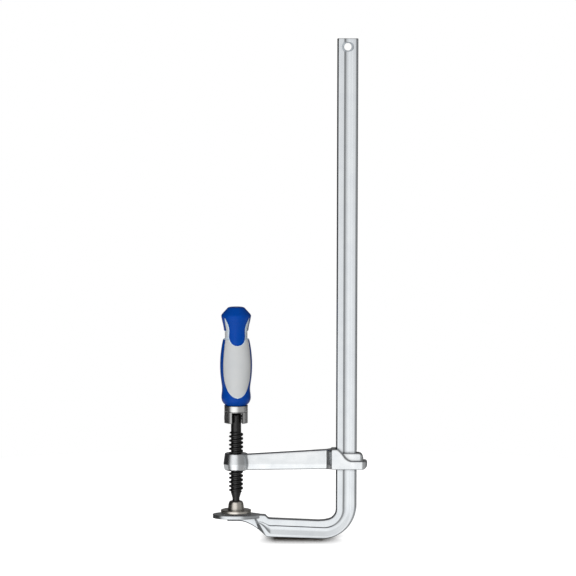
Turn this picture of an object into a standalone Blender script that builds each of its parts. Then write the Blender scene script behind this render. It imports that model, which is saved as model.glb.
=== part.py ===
"""Bar clamp with a bent, grooved rail, a forged sliding arm and a folding handle.

Lengths are metres and +Z is up. The clamp stands on the lower edge of its fixed
arm, with the screw on the left and the rail on the right.
"""
import math

import bmesh
import bpy
from mathutils import Vector

# Rail, and the fixed arm that is bent from it
THROAT = 0.120
OVERALL_HEIGHT = 0.600
RAIL_WIDTH = 0.025
RAIL_THICKNESS = 0.012
RAIL_EDGE_RADIUS = 0.0025
RAIL_END_CHAMFER = 0.0008
GROOVE_DEPTH = 0.0013
GROOVE_SHARES = (0.345, 0.395, 0.640, 0.730)
BEND_INNER_RADIUS = 0.0155
BEND_OUTER_RADIUS = 0.042
FIXED_ARM_DEPTH = 0.0209
FIXED_ARM_SLOPE_DEG = 2.3
BEND_STEPS = 9
HANG_HOLE_DIAMETER = 0.009
HANG_HOLE_CHAMFER = 0.0012
HANG_HOLE_FROM_TOP = 0.010
HOLE_SEGMENTS = 24

# Anvil: an oval plate on a rib at the fixed arm's end
ANVIL_TOP = 0.0291
ANVIL_THICKNESS = 0.0041
ANVIL_REACH = 0.028
ANVIL_LENGTH = 0.048
ANVIL_WIDTH = 0.037
ANVIL_EDGE_BEVEL = 0.0008
ANVIL_OVAL_STEPS = 30
NECK_HALF_WIDTH = 0.0056
NECK_FILLET_LENGTH = 0.007
HEAD_LENGTH = 0.030
HEAD_STEP_RISE = 0.0050
RIB_THICKNESS = 0.006
RIB_EDGE_RADIUS = 0.0012
RIB_DROP = 0.0044
RIB_ARC_RADIUS = 0.036
RIB_ARC_DEG = 57.0
RIB_ARC_STEPS = 5
RIB_TIP_REACH = 0.0108
RIB_FLAT_START = 0.0048

# Sliding arm: threaded boss, drafted beam and an eye round the rail
SLIDING_ARM_BOTTOM = 0.0825
BOSS_HEIGHT = 0.0208
BOSS_RADIUS = 0.0145
BOSS_TOP_RADIUS = 0.0130
BOSS_BOTTOM_RADIUS = 0.0136
BOSS_EDGE = 0.0011
BOSS_LOWER_ROUND = 0.0030
BOSS_SEGMENTS = 36
PARTING_HEIGHT = 0.0077
BEAM_HALF_THICKNESS = 0.0058
BEAM_DRAFT = 0.0005
BEAM_EDGE_RADIUS = 0.0015
BEAM_TOP_AT_BOSS = 0.0189
BEAM_TOP_AT_EYE = 0.0259
BEAM_BOTTOM_AT_BOSS = 0.0004
BEAM_BOTTOM_AT_EYE = 0.0021
BEAM_START = 0.006
FLARE_LENGTH = 0.0071
FLARE_HOLLOW = 0.08
FLARE_STEPS = 4
EYE_FRONT_WALL = 0.0056
EYE_HALF_THICKNESS = 0.0124
EYE_END_WALL = 0.0126
EYE_HEIGHT = 0.0265
EYE_BOTTOM = 0.0022
EYE_STRAP_HEIGHT = 0.0122
EYE_RING_HEIGHT = 0.0215
EYE_RING_HALF_THICKNESS = 0.0097
EYE_RING_END_WALL = 0.0080
EYE_RING_CORNER = 0.0060
EYE_CORNER_RADIUS = 0.0062
EYE_FOOT_RADIUS = 0.0042
EYE_SHOULDER_REACH = 0.0018
EYE_SLOPE_REACH = 0.0200
EYE_SLOPE_BEND = 0.0134
EYE_EDGE_BEVEL = 0.0009
RAIL_SLIDE_CLEARANCE = 0.0004

# Screw spindle with a trapezoidal right-hand thread and a ball end
THREAD_PITCH = 0.005
THREAD_ROOT_RADIUS = 0.00615
THREAD_CREST_RADIUS = 0.0086
THREAD_CREST_WIDTH = 0.0018
THREAD_FLANK_WIDTH = 0.0008
THREAD_CLEARANCE = 0.0003
THREAD_FADE = 0.0025
THREAD_LOW = 0.0555
THREAD_HIGH = 0.1295
THREAD_START_DEG = 112.0
THREAD_SEGMENTS = 20
SPINDLE_TAPER_TOP = 0.0551
SPINDLE_TAPER_BOTTOM = 0.0487
NECK_RADIUS = 0.0043
BALL_RADIUS = 0.0054
BALL_CENTRE = 0.0396
BALL_STEPS = 6

# Swivel pad and the seat between it and the ball
PAD_RADIUS = 0.0183
PAD_FLANGE = 0.0034
PAD_EDGE_ROUND = 0.0008
PAD_GAP = 0.00205
BELL_BASE_RADIUS = 0.0099
BELL_SIDE_RADIUS = 0.0093
BELL_SIDE_HEIGHT = 0.0055
BELL_RIM_RADIUS = 0.0062
BELL_RIM_TOP = 0.0453
BELL_MOUTH_RADIUS = 0.0051
SEAT_THICKNESS = 0.0009
SEAT_GAP = 0.0003
SEAT_MOUTH_DEG = 52.0
PAD_SEGMENTS = 28
SEAT_SEGMENTS = 20

# Folding handle: forked steel socket, pivot pin, detent, core and grip
PIN_HEIGHT = 0.1463
PIN_RADIUS = 0.0025
PIN_CLEARANCE = 0.0002
PIN_END_ROUND = 0.0005
HANDLE_TURN_DEG = 7.0
FORK_RADIUS = 0.0140
FORK_BELOW_PIN = 0.0066
FORK_SLOT_WIDTH = 0.0135
FORK_HEAD_CLEARANCE = 0.00035
FORK_SHOULDER = 0.0147
FORK_CHAMFER = 0.0006
TANG_RADIUS = 0.0095
TANG_LENGTH = 0.040
TANG_SIDES = 6
PLUNGER_RADIUS = 0.0030
PLUNGER_LENGTH = 0.009
PLUNGER_STEM_RADIUS = 0.0014
PLUNGER_STEM_LENGTH = 0.004
SPRING_SPACE = 0.016
SPRING_WIRE_RADIUS = 0.0004
SPRING_TURNS = 7
SPRING_STEPS_PER_TURN = 8
BORE_CLEARANCE = 0.0003
HANDLE_LENGTH = 0.118
HANDLE_RADIUS = 0.0193
GRIP_THICKNESS = 0.0020
PIECE_GAP = 0.0003
HANDLE_SEGMENTS = 28
PIN_SEGMENTS = 16
DETENT_SEGMENTS = 16

# Each pair is height over HANDLE_LENGTH, then radius over HANDLE_RADIUS
HANDLE_PROFILE_SHARES = (
    (0.000, 0.660), (0.012, 0.745), (0.032, 0.845), (0.058, 0.902), (0.085, 0.917),
    (0.118, 0.900), (0.155, 0.877), (0.192, 0.884), (0.238, 0.920), (0.290, 0.963),
    (0.350, 0.991), (0.410, 1.000), (0.470, 0.990), (0.530, 0.960), (0.588, 0.913),
    (0.640, 0.855), (0.684, 0.793), (0.718, 0.760), (0.752, 0.757), (0.785, 0.775),
    (0.825, 0.822), (0.870, 0.888), (0.903, 0.925), (0.915, 0.928), (0.930, 0.865),
    (0.980, 0.590), (0.992, 0.530), (1.000, 0.450),
)
WAIST_LOW_SHARE = 0.684
WAIST_HIGH_SHARE = 0.754
WAIST_RADIUS_SHARE = 0.700
WAIST_BLEND_SHARE = 0.010
# Half of the grip's front outline: sideways over HANDLE_RADIUS, height over HANDLE_LENGTH
OVAL_SIDE_SHARES = (
    (0.000, 0.079), (0.290, 0.096), (0.545, 0.141), (0.740, 0.222), (0.840, 0.320),
    (0.858, 0.440), (0.810, 0.570), (0.735, 0.670),
)
WING_REACH_SHARE = 1.150
HORN_SIDE_SHARES = ((0.655, 0.765), (0.735, 0.840), (0.778, 0.890))
TONGUE_EDGE_SHARES = (
    (0.748, 0.896), (0.668, 0.868), (0.545, 0.825), (0.478, 0.768), (0.487, 0.703),
    (0.430, 0.660), (0.265, 0.627), (0.000, 0.615),
)

# Shared places, worked out from the sizes above
RAIL_INNER = THROAT
RAIL_OUTER = THROAT + RAIL_WIDTH
CLAMP_LEFT = -ANVIL_REACH
CLAMP_RIGHT = RAIL_OUTER + EYE_END_WALL
SCREW_X = -(CLAMP_LEFT + CLAMP_RIGHT) / 2
PAD_BOTTOM = ANVIL_TOP + PAD_GAP
SLOPE = math.radians(FIXED_ARM_SLOPE_DEG)
OVERRUN = 0.004

# Colour, roughness and metallic value of each piece
FINISHES = {
    "fixed_rail": ((0.78, 0.79, 0.80), 0.30, 1.0),
    "sliding_arm": ((0.74, 0.75, 0.76), 0.38, 1.0),
    "spindle": ((0.018, 0.018, 0.020), 0.36, 0.3),
    "ball_seat": ((0.75, 0.73, 0.66), 0.50, 0.0),
    "swivel_pad": ((0.52, 0.48, 0.42), 0.30, 1.0),
    "handle_fork": ((0.66, 0.66, 0.65), 0.28, 1.0),
    "pivot_pin": ((0.60, 0.60, 0.60), 0.30, 1.0),
    "detent_plunger": ((0.45, 0.45, 0.46), 0.35, 1.0),
    "detent_spring": ((0.40, 0.40, 0.42), 0.35, 1.0),
    "handle_core": ((0.006, 0.055, 0.390), 0.38, 0.0),
    "handle_grip": ((0.55, 0.58, 0.60), 0.55, 0.0),
}


def clear_scene():
    for old in list(bpy.data.objects):
        bpy.data.objects.remove(old, do_unlink=True)


def finish_material(name):
    colour, roughness, metallic = FINISHES[name]
    material = bpy.data.materials.new(name)
    material.use_nodes = True
    shader = material.node_tree.nodes["Principled BSDF"]
    shader.inputs["Base Color"].default_value = (*colour, 1.0)
    shader.inputs["Roughness"].default_value = roughness
    shader.inputs["Metallic"].default_value = metallic
    return material


def empty_at(name, place, parent=None):
    pivot = bpy.data.objects.new(name, None)
    pivot.location = place
    pivot.parent = parent
    bpy.context.collection.objects.link(pivot)
    return pivot


def solid(name, shape, parent, origin=Vector((0, 0, 0))):
    """Turn a bmesh, drawn in its parent's frame, into an object whose origin is where it moves."""
    bmesh.ops.recalc_face_normals(shape, faces=shape.faces)
    bmesh.ops.translate(shape, verts=shape.verts, vec=-origin)
    mesh = bpy.data.meshes.new(name)
    shape.to_mesh(mesh)
    shape.free()
    mesh.shade_smooth()
    mesh.set_sharp_from_angle(angle=math.radians(35))
    made = bpy.data.objects.new(name, mesh)
    made.location = origin
    made.parent = parent
    bpy.context.collection.objects.link(made)
    return made


def part(name, shape, parent, origin=Vector((0, 0, 0))):
    made = solid(name, shape, parent, origin)
    made.data.materials.append(finish_material(name))
    return made


def shape_with(target, operation, name, shape, parent):
    """Join, cut or intersect a part with a helper shape, and give the helper back."""
    helper = solid(name, shape, parent)
    helper.hide_render = True
    helper.display_type = "WIRE"
    step = target.modifiers.new(name, "BOOLEAN")
    step.operation = operation
    step.solver = "EXACT"
    step.object = helper
    return helper


def arc(centre, radius, start_deg, end_deg, steps):
    """Points on an arc in a plane, from start to end."""
    points = []
    for i in range(steps + 1):
        angle = math.radians(start_deg + (end_deg - start_deg) * i / steps)
        points.append((centre[0] + radius * math.cos(angle), centre[1] + radius * math.sin(angle)))
    return points


def quadratic(start, bend, end, steps):
    """Points on a curve that leaves start towards bend and arrives at end from bend."""
    points = []
    for i in range(steps + 1):
        t = i / steps
        weights = ((1 - t) ** 2, 2 * t * (1 - t), t ** 2)
        points.append(tuple(sum(w * p[k] for w, p in zip(weights, (start, bend, end))) for k in (0, 1)))
    return points


def smooth_through(points, steps):
    """A smooth line through hand-chosen points, with a few steps between each pair."""
    ends = [points[0], *points, points[-1]]
    line = []
    for a, b, c, d in zip(ends, ends[1:], ends[2:], ends[3:]):
        for i in range(steps):
            t = i / steps
            line.append(tuple(
                0.5 * (2 * b[k] + (c[k] - a[k]) * t + (2 * a[k] - 5 * b[k] + 4 * c[k] - d[k]) * t ** 2
                       + (3 * b[k] - a[k] - 3 * c[k] + d[k]) * t ** 3)
                for k in (0, 1)
            ))
    return line + [points[-1]]


def loft(rings):
    """A closed skin over rings of points, capped at both ends."""
    shape = bmesh.new()
    loops = [[shape.verts.new(p) for p in ring] for ring in rings]
    for low, high in zip(loops, loops[1:]):
        for i in range(len(low)):
            j = (i + 1) % len(low)
            shape.faces.new((low[i], low[j], high[j], high[i]))
    shape.faces.new(loops[0])
    shape.faces.new(loops[-1])
    return shape


def revolve(profile, segments, closed=False):
    """Turn (radius, height) points about a vertical axis; a closed profile makes a ring."""
    shape = bmesh.new()
    rings = []
    for radius, height in profile:
        count = segments if radius > 0 else 1
        turn = [2 * math.pi * i / segments for i in range(count)]
        rings.append([shape.verts.new((radius * math.cos(a), radius * math.sin(a), height)) for a in turn])
    pairs = list(zip(rings, rings[1:]))
    if closed:
        pairs.append((rings[-1], rings[0]))
    for low, high in pairs:
        for i in range(segments):
            j = (i + 1) % segments
            corners = [low[i % len(low)], low[j % len(low)], high[j % len(high)], high[i % len(high)]]
            corners = [v for k, v in enumerate(corners) if v not in corners[:k]]
            if len(corners) > 2:
                shape.faces.new(corners)
    if not closed:
        for ring in (rings[0], rings[-1]):
            if len(ring) > 1:
                shape.faces.new(ring)
    return shape


def prism(outline, axis, low, high):
    """Extrude a flat outline; axis 1 takes (x, z) points, axis 2 takes (x, y) points."""
    rings = []
    for level in (low, high):
        rings.append([(a, level, b) if axis == 1 else (a, b, level) for a, b in outline])
    return loft(rings)


def bevel_sharp(shape, width, segments, least_deg):
    edges = [
        e for e in shape.edges
        if len(e.link_faces) == 2 and e.calc_face_angle() > math.radians(least_deg)
    ]
    bmesh.ops.bevel(
        shape, geom=edges, offset=width, segments=segments, affect="EDGES", profile=0.5, clamp_overlap=True
    )
    return shape


def bar_section(inner, outer, thickness, edge_radius, groove_depth, groove_shares):
    """One ring of the bar, from its inner edge point to its outer one; the faces look along Y."""
    inner, outer = Vector(inner), Vector(outer)
    width = (outer - inner).length
    across = (outer - inner) / width
    half = thickness / 2
    near = arc((edge_radius, edge_radius - half), edge_radius, 180, 270, 3)
    depths = (0, groove_depth, groove_depth, 0)
    near += [(share * width, depth - half) for share, depth in zip(groove_shares, depths)]
    near += arc((width - edge_radius, edge_radius - half), edge_radius, 270, 360, 3)
    flat = near + [(u, -v) for u, v in reversed(near)]
    return [Vector((inner.x + across.x * u, v, inner.y + across.y * u)) for u, v in flat]


def bend_centres():
    """Centres of the bend's inner and outer arcs, seen from the front."""
    rise = Vector((math.sin(SLOPE), math.cos(SLOPE)))
    outer = Vector((RAIL_OUTER - BEND_OUTER_RADIUS, BEND_OUTER_RADIUS))
    foot = outer - BEND_OUTER_RADIUS * rise
    inner_x = RAIL_INNER - BEND_INNER_RADIUS
    climb = FIXED_ARM_DEPTH + BEND_INNER_RADIUS - rise.x * (inner_x - foot.x)
    return Vector((inner_x, foot.y + climb / rise.y)), outer


def arm_line_height(x, below):
    """Height of the fixed arm's upper edge, or of its lower edge, at x."""
    inner, outer = bend_centres()
    rise = Vector((math.sin(SLOPE), math.cos(SLOPE)))
    start = outer - BEND_OUTER_RADIUS * rise if below else inner - BEND_INNER_RADIUS * rise
    return start.y + (start.x - x) * math.tan(SLOPE)


def rail_stations():
    """Inner and outer edge points down the rail and round the bend."""
    top = OVERALL_HEIGHT
    cut = RAIL_END_CHAMFER
    stations = [((RAIL_INNER + cut, top), (RAIL_OUTER - cut, top)),
                ((RAIL_INNER, top - cut), (RAIL_OUTER, top - cut))]
    inner, outer = bend_centres()
    turns = [math.pi / 2 * i / BEND_STEPS for i in range(BEND_STEPS + 1)]
    for angle in (*turns, math.pi / 2 + SLOPE):
        ray = Vector((math.cos(angle), -math.sin(angle)))
        stations.append((tuple(inner + BEND_INNER_RADIUS * ray), tuple(outer + BEND_OUTER_RADIUS * ray)))
    return stations


def head_stations():
    """The fixed arm's end: a step up to the anvil plate, then a slanted end below it."""
    reach = HEAD_LENGTH
    step_x = ANVIL_LENGTH - ANVIL_REACH
    # Along the head over its length, then the share of the step that has been climbed
    rise_shares = ((0.870, 0.0), (0.690, 0.02), (0.610, 0.18), (0.535, 0.72), (0.480, 0.88), (0.270, 0.96))
    foot_shares = (0.900, 0.800, 0.745, 0.700, 0.660, 0.610)
    stations = []
    for (along, climb), foot in zip(rise_shares, foot_shares):
        x = step_x + reach * along
        base = arm_line_height(x, False)
        low_x = step_x + reach * foot
        stations.append(((x, base + (ANVIL_TOP - base) * climb), (low_x, arm_line_height(low_x, True))))
    return stations


def rib_stations():
    """Under the plate: the arm's slanted end, then the rib along its curved lower edge."""
    top = ANVIL_TOP - ANVIL_THICKNESS / 2
    flat = ANVIL_TOP - ANVIL_THICKNESS - RIB_DROP
    curve = arc((RIB_FLAT_START, flat - RIB_ARC_RADIUS), RIB_ARC_RADIUS, 90 - RIB_ARC_DEG, 90, RIB_ARC_STEPS)
    heads = [RIB_ARC_RADIUS / 2 * (1 - i / RIB_ARC_STEPS) for i in range(RIB_ARC_STEPS + 1)]
    stations = [((x, top), low) for x, low in zip(heads, curve)]
    stations.append(((-RIB_TIP_REACH, top), (-RIB_TIP_REACH, flat)))
    return stations


def bar_rings():
    """Every ring of the bent bar, from the rail's top to the rib's tip."""
    rings = []
    for n, (inner, outer) in enumerate(rail_stations()):
        thickness = RAIL_THICKNESS - (2 * RAIL_END_CHAMFER if n == 0 else 0)
        rings.append(bar_section(inner, outer, thickness, RAIL_EDGE_RADIUS, GROOVE_DEPTH, GROOVE_SHARES))
    heads = head_stations()
    for n, (inner, outer) in enumerate(heads):
        fade = n / len(heads)
        shares = [share * (1 - fade / 2) for share in GROOVE_SHARES]
        rings.append(bar_section(
            inner, outer, RAIL_THICKNESS, RAIL_EDGE_RADIUS * (1 - fade / 2), GROOVE_DEPTH * (1 - fade), shares
        ))
    step_x = ANVIL_LENGTH - ANVIL_REACH
    foot_x = RIB_FLAT_START + RIB_ARC_RADIUS * math.sin(math.radians(RIB_ARC_DEG))
    slant = ((step_x + ANVIL_EDGE_BEVEL, ANVIL_TOP), (foot_x + ANVIL_EDGE_BEVEL, arm_line_height(foot_x, True)))
    rings.append(bar_section(*slant, RAIL_THICKNESS, RIB_EDGE_RADIUS, 0, GROOVE_SHARES))
    for inner, outer in rib_stations():
        rings.append(bar_section(inner, outer, RIB_THICKNESS, RIB_EDGE_RADIUS, 0, GROOVE_SHARES))
    return rings


def anvil_outline():
    """The oval plate seen from above, drawn in to a neck that runs into the arm."""
    half_length = ANVIL_LENGTH / 2
    half_width = ANVIL_WIDTH / 2
    centre = half_length - ANVIL_REACH
    oval = []
    for i in range(ANVIL_OVAL_STEPS + 1):
        angle = math.pi * (1 - i / ANVIL_OVAL_STEPS)
        point = (centre + half_length * math.cos(angle), half_width * math.sin(angle))
        if point[0] < centre or point[1] > 1.7 * NECK_HALF_WIDTH:
            oval.append(point)
    last = oval[-1]
    end = (last[0] + NECK_FILLET_LENGTH, NECK_HALF_WIDTH)
    fillet = quadratic(last, (last[0] + NECK_FILLET_LENGTH / 3, NECK_HALF_WIDTH), end, 4)[1:]
    side = oval + fillet
    return side + [(x, -y) for x, y in reversed(side[1:])]


def anvil_plate():
    plate = prism(anvil_outline(), 2, ANVIL_TOP - ANVIL_THICKNESS, ANVIL_TOP)
    return bevel_sharp(plate, ANVIL_EDGE_BEVEL, 2, 60)


def hanging_hole():
    """A through hole with a chamfer at both mouths, lying along Y."""
    radius = HANG_HOLE_DIAMETER / 2
    face = RAIL_THICKNESS / 2 - GROOVE_DEPTH
    wide = radius + HANG_HOLE_CHAMFER + OVERRUN
    profile = [(wide, -face - OVERRUN), (radius, HANG_HOLE_CHAMFER - face), (radius, face - HANG_HOLE_CHAMFER),
               (wide, face + OVERRUN)]
    hole = revolve(profile, HOLE_SEGMENTS)
    for v in hole.verts:
        x, y, z = v.co
        v.co = ((RAIL_INNER + RAIL_OUTER) / 2 + x, z, OVERALL_HEIGHT - HANG_HOLE_FROM_TOP - y)
    return hole


def make_rail(clamp):
    rail = part("fixed_rail", loft(bar_rings()), clamp)
    shape_with(rail, "UNION", "anvil_plate_shape", anvil_plate(), clamp)
    shape_with(rail, "DIFFERENCE", "hanging_hole_cutter", hanging_hole(), clamp)


def boss_shape():
    """The forged boss, turned, with its draft meeting at the parting line."""
    low = SLIDING_ARM_BOTTOM
    top = low + BOSS_HEIGHT
    side = arc((BOSS_BOTTOM_RADIUS - BOSS_LOWER_ROUND, low + BOSS_LOWER_ROUND), BOSS_LOWER_ROUND, 270, 360, 3)
    profile = side + [(BOSS_RADIUS, low + PARTING_HEIGHT)]
    profile += [(BOSS_TOP_RADIUS, top - BOSS_EDGE), (BOSS_TOP_RADIUS - BOSS_EDGE, top)]
    return revolve(profile, BOSS_SEGMENTS)


def beam_ring(x, half, low, top):
    """The beam's drafted section at x: widest at the parting line, with rounded corners."""
    base = SLIDING_ARM_BOTTOM
    face = half - BEAM_DRAFT
    r = BEAM_EDGE_RADIUS
    side = arc((face - r, base + low + r), r, 270, 360, 2)
    side.append((half, base + PARTING_HEIGHT))
    side += arc((face - r, base + top - r), r, 0, 90, 2)
    return [(x, y, z) for y, z in side] + [(x, -y, z) for y, z in reversed(side)]


def beam_shape():
    """From inside the boss to the eye, where the faces flare out in a slightly hollow ramp."""
    end = RAIL_INNER - EYE_FRONT_WALL
    start = end - FLARE_LENGTH
    rise = EYE_HALF_THICKNESS - BEAM_HALF_THICKNESS
    bend = (start + (0.5 + FLARE_HOLLOW) * FLARE_LENGTH, BEAM_HALF_THICKNESS + (0.5 - FLARE_HOLLOW) * rise)
    flare = quadratic((start, BEAM_HALF_THICKNESS), bend, (end, EYE_HALF_THICKNESS), FLARE_STEPS)
    spots = [(BEAM_START, BEAM_HALF_THICKNESS), *flare]
    rings = []
    for x, half in spots:
        along = x / end
        low = BEAM_BOTTOM_AT_BOSS + (BEAM_BOTTOM_AT_EYE - BEAM_BOTTOM_AT_BOSS) * along
        top = BEAM_TOP_AT_BOSS + (BEAM_TOP_AT_EYE - BEAM_TOP_AT_BOSS) * along
        rings.append(beam_ring(x, half, low, top))
    return loft(rings)


def strap_outline():
    """The eye's outer layer from the front: high at the beam, sweeping down to a low strap."""
    low = SLIDING_ARM_BOTTOM + EYE_BOTTOM
    strap = low + EYE_STRAP_HEIGHT - EYE_BOTTOM
    top = SLIDING_ARM_BOTTOM + EYE_HEIGHT
    left = RAIL_INNER - EYE_FRONT_WALL - EYE_EDGE_BEVEL
    foot = arc((CLAMP_RIGHT - EYE_FOOT_RADIUS, low + EYE_FOOT_RADIUS), EYE_FOOT_RADIUS, 270, 360, 4)
    shoulder = (RAIL_INNER + EYE_SHOULDER_REACH, top)
    slope = quadratic((RAIL_INNER + EYE_SLOPE_REACH, strap), (RAIL_INNER + EYE_SLOPE_BEND, strap), shoulder, 8)
    corner = [(CLAMP_RIGHT, strap - EYE_EDGE_BEVEL), (CLAMP_RIGHT - EYE_EDGE_BEVEL, strap)]
    return [(left, low), *foot, *corner, *slope, (left, top)]


def plan_outline(left, right, half, corner):
    """A block seen from above with its right-hand corners rounded."""
    lower = arc((right - corner, corner - half), corner, 270, 360, 5)
    upper = arc((right - corner, half - corner), corner, 0, 90, 5)
    return [(left, -half), *lower, *upper, (left, half)]


def ring_layer():
    """The eye's inner layer, which stands above the strap and has a rounded end."""
    low = SLIDING_ARM_BOTTOM + EYE_BOTTOM + EYE_EDGE_BEVEL
    top = SLIDING_ARM_BOTTOM + EYE_RING_HEIGHT
    left = RAIL_INNER - EYE_FRONT_WALL
    right = RAIL_OUTER + EYE_RING_END_WALL
    corner = arc((right - EYE_RING_CORNER, top - EYE_RING_CORNER), EYE_RING_CORNER, 0, 90, 5)
    block = prism([(left, low), (right, low), *corner, (left, top)], 1,
                  -EYE_RING_HALF_THICKNESS, EYE_RING_HALF_THICKNESS)
    return bevel_sharp(block, EYE_EDGE_BEVEL, 2, 60)


def rail_passage():
    """The opening the rail passes through, with the rail's own edge radius."""
    gap = RAIL_SLIDE_CLEARANCE
    half = RAIL_THICKNESS / 2 + gap
    left, right = RAIL_INNER - gap, RAIL_OUTER + gap
    corners = ((left, -half, 180), (right, -half, 270), (right, half, 0), (left, half, 90))
    outline = []
    for x, y, start in corners:
        inset = RAIL_EDGE_RADIUS
        centre = (x + (inset if x == left else -inset), y + (inset if y < 0 else -inset))
        outline += arc(centre, inset, start, start + 90, 3)
    return prism(outline, 2, SLIDING_ARM_BOTTOM - OVERRUN, SLIDING_ARM_BOTTOM + EYE_HEIGHT + OVERRUN)


def make_sliding_arm(clamp):
    slide = Vector(((RAIL_INNER + RAIL_OUTER) / 2, 0, SLIDING_ARM_BOTTOM))
    arm = part("sliding_arm", boss_shape(), clamp, slide)
    shape_with(arm, "UNION", "beam_shape", beam_shape(), clamp)
    strap = prism(strap_outline(), 1, -EYE_HALF_THICKNESS, EYE_HALF_THICKNESS)
    block = shape_with(arm, "UNION", "strap_shape", bevel_sharp(strap, EYE_EDGE_BEVEL, 2, 60), clamp)
    plan = plan_outline(-OVERRUN, CLAMP_RIGHT + PIECE_GAP, EYE_HALF_THICKNESS + PIECE_GAP, EYE_CORNER_RADIUS)
    shape_with(block, "INTERSECT", "strap_rounding", prism(plan, 2, 0, OVERALL_HEIGHT), clamp)
    ring = shape_with(arm, "UNION", "ring_layer_shape", ring_layer(), clamp)
    plan = plan_outline(-OVERRUN, RAIL_OUTER + EYE_RING_END_WALL + PIECE_GAP,
                        EYE_RING_HALF_THICKNESS + PIECE_GAP, EYE_CORNER_RADIUS - RAIL_SLIDE_CLEARANCE)
    shape_with(ring, "INTERSECT", "ring_rounding", prism(plan, 2, 0, OVERALL_HEIGHT), clamp)
    shape_with(arm, "DIFFERENCE", "rail_passage_cutter", rail_passage(), clamp)
    shape_with(arm, "DIFFERENCE", "thread_cutter", thread_cutter(), clamp)


def thread_profile(root, crest, crest_width, flank_width):
    """One pitch of the thread: height over the pitch's start, and radius, at its four corners."""
    ridge = crest_width + 2 * flank_width
    return ((0, root), (flank_width, crest), (flank_width + crest_width, crest), (ridge, root))


def threaded_rod(below, above, low, high, root, crest, crest_width, flank_width, base_radius):
    """A rod with a helical ridge from low to high, between two turned ends.

    The skin is a sheared grid: each column is one angle, each row follows the helix, and the
    last column joins the first one pitch higher. below and above are (radius, height) rings
    past the grid's own two end rings.
    """
    shape = bmesh.new()
    profile = thread_profile(root, crest, crest_width, flank_width)
    first = low - THREAD_PITCH
    turns = math.ceil((high - first) / THREAD_PITCH)
    ends = (first - PIECE_GAP, first + THREAD_PITCH * (turns + 1) + PIECE_GAP)
    start = math.radians(THREAD_START_DEG)
    columns = []
    for i in range(THREAD_SEGMENTS):
        angle = start + 2 * math.pi * i / THREAD_SEGMENTS
        column = []
        for row in range(len(profile) * turns + 1):
            lift, radius = profile[row % len(profile)]
            z = first + THREAD_PITCH * (row // len(profile) + i / THREAD_SEGMENTS) + lift
            fade = min(1, max(0, (z - low) / THREAD_FADE), max(0, (high - z) / THREAD_FADE))
            plain = base_radius(z)
            r = plain + (radius - root) * fade
            column.append(shape.verts.new((r * math.cos(angle), r * math.sin(angle), z)))
        columns.append(column)
    skin_thread(shape, columns, len(profile))
    for past, z, bottom in ((below, ends[0], True), (above, ends[1], False)):
        cap_rod(shape, columns, [(base_radius(z), z), *past], len(profile), bottom, start)
    return shape


def skin_thread(shape, columns, corners):
    for i, column in enumerate(columns):
        last = i == len(columns) - 1
        neighbour = columns[0] if last else columns[i + 1]
        shift = corners if last else 0
        for row in range(len(column) - 1 - shift):
            shape.faces.new((column[row], neighbour[row + shift], neighbour[row + shift + 1], column[row + 1]))


def cap_rod(shape, columns, profile, corners, bottom, start):
    """Close one end of the helical skin with turned rings, the first one next to the thread."""
    count = len(columns)
    rings = []
    for radius, z in profile:
        turn = [start + 2 * math.pi * i / count for i in range(count if radius > 0 else 1)]
        rings.append([shape.verts.new((radius * math.cos(a), radius * math.sin(a), z)) for a in turn])
    row = 0 if bottom else -1
    for i in range(count - 1):
        shape.faces.new((rings[0][i], rings[0][i + 1], columns[i + 1][row], columns[i][row]))
    if bottom:
        step = [columns[0][k] for k in range(corners + 1)]
    else:
        step = [columns[-1][k] for k in range(-1, -corners - 2, -1)]
    if bottom:
        shape.faces.new((rings[0][-1], rings[0][0], *step, columns[-1][0]))
    else:
        shape.faces.new((rings[0][0], rings[0][-1], *step, columns[0][-1]))
    for low, high in zip(rings, rings[1:]):
        for i in range(count):
            j = (i + 1) % count
            loop = [low[i], low[j], high[j % len(high)], high[i % len(high)]]
            shape.faces.new([v for k, v in enumerate(loop) if v not in loop[:k]])
    if len(rings[-1]) > 1:
        shape.faces.new(rings[-1])


def thread_cutter():
    """The boss's internal thread: the spindle's own thread with clearance all round."""
    root = THREAD_ROOT_RADIUS + THREAD_CLEARANCE
    crest = THREAD_CREST_RADIUS + THREAD_CLEARANCE
    low = THREAD_LOW + THREAD_PITCH * math.floor((SLIDING_ARM_BOTTOM - THREAD_FADE - THREAD_LOW) / THREAD_PITCH)
    high = SLIDING_ARM_BOTTOM + BOSS_HEIGHT + THREAD_PITCH
    crest_width = THREAD_CREST_WIDTH + 2 * THREAD_CLEARANCE
    rod = threaded_rod([], [], low, high, root, crest, crest_width, THREAD_FLANK_WIDTH, lambda z: root)
    bmesh.ops.translate(rod, verts=rod.verts, vec=(0, 0, -THREAD_CLEARANCE))
    return rod


def spindle_radius(z):
    """The plain spindle's radius: full above the taper, narrowing to the neck below it."""
    if z >= SPINDLE_TAPER_TOP:
        return THREAD_ROOT_RADIUS
    slope = (THREAD_ROOT_RADIUS - NECK_RADIUS) / (SPINDLE_TAPER_TOP - SPINDLE_TAPER_BOTTOM)
    return THREAD_ROOT_RADIUS - slope * (SPINDLE_TAPER_TOP - z)


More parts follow.
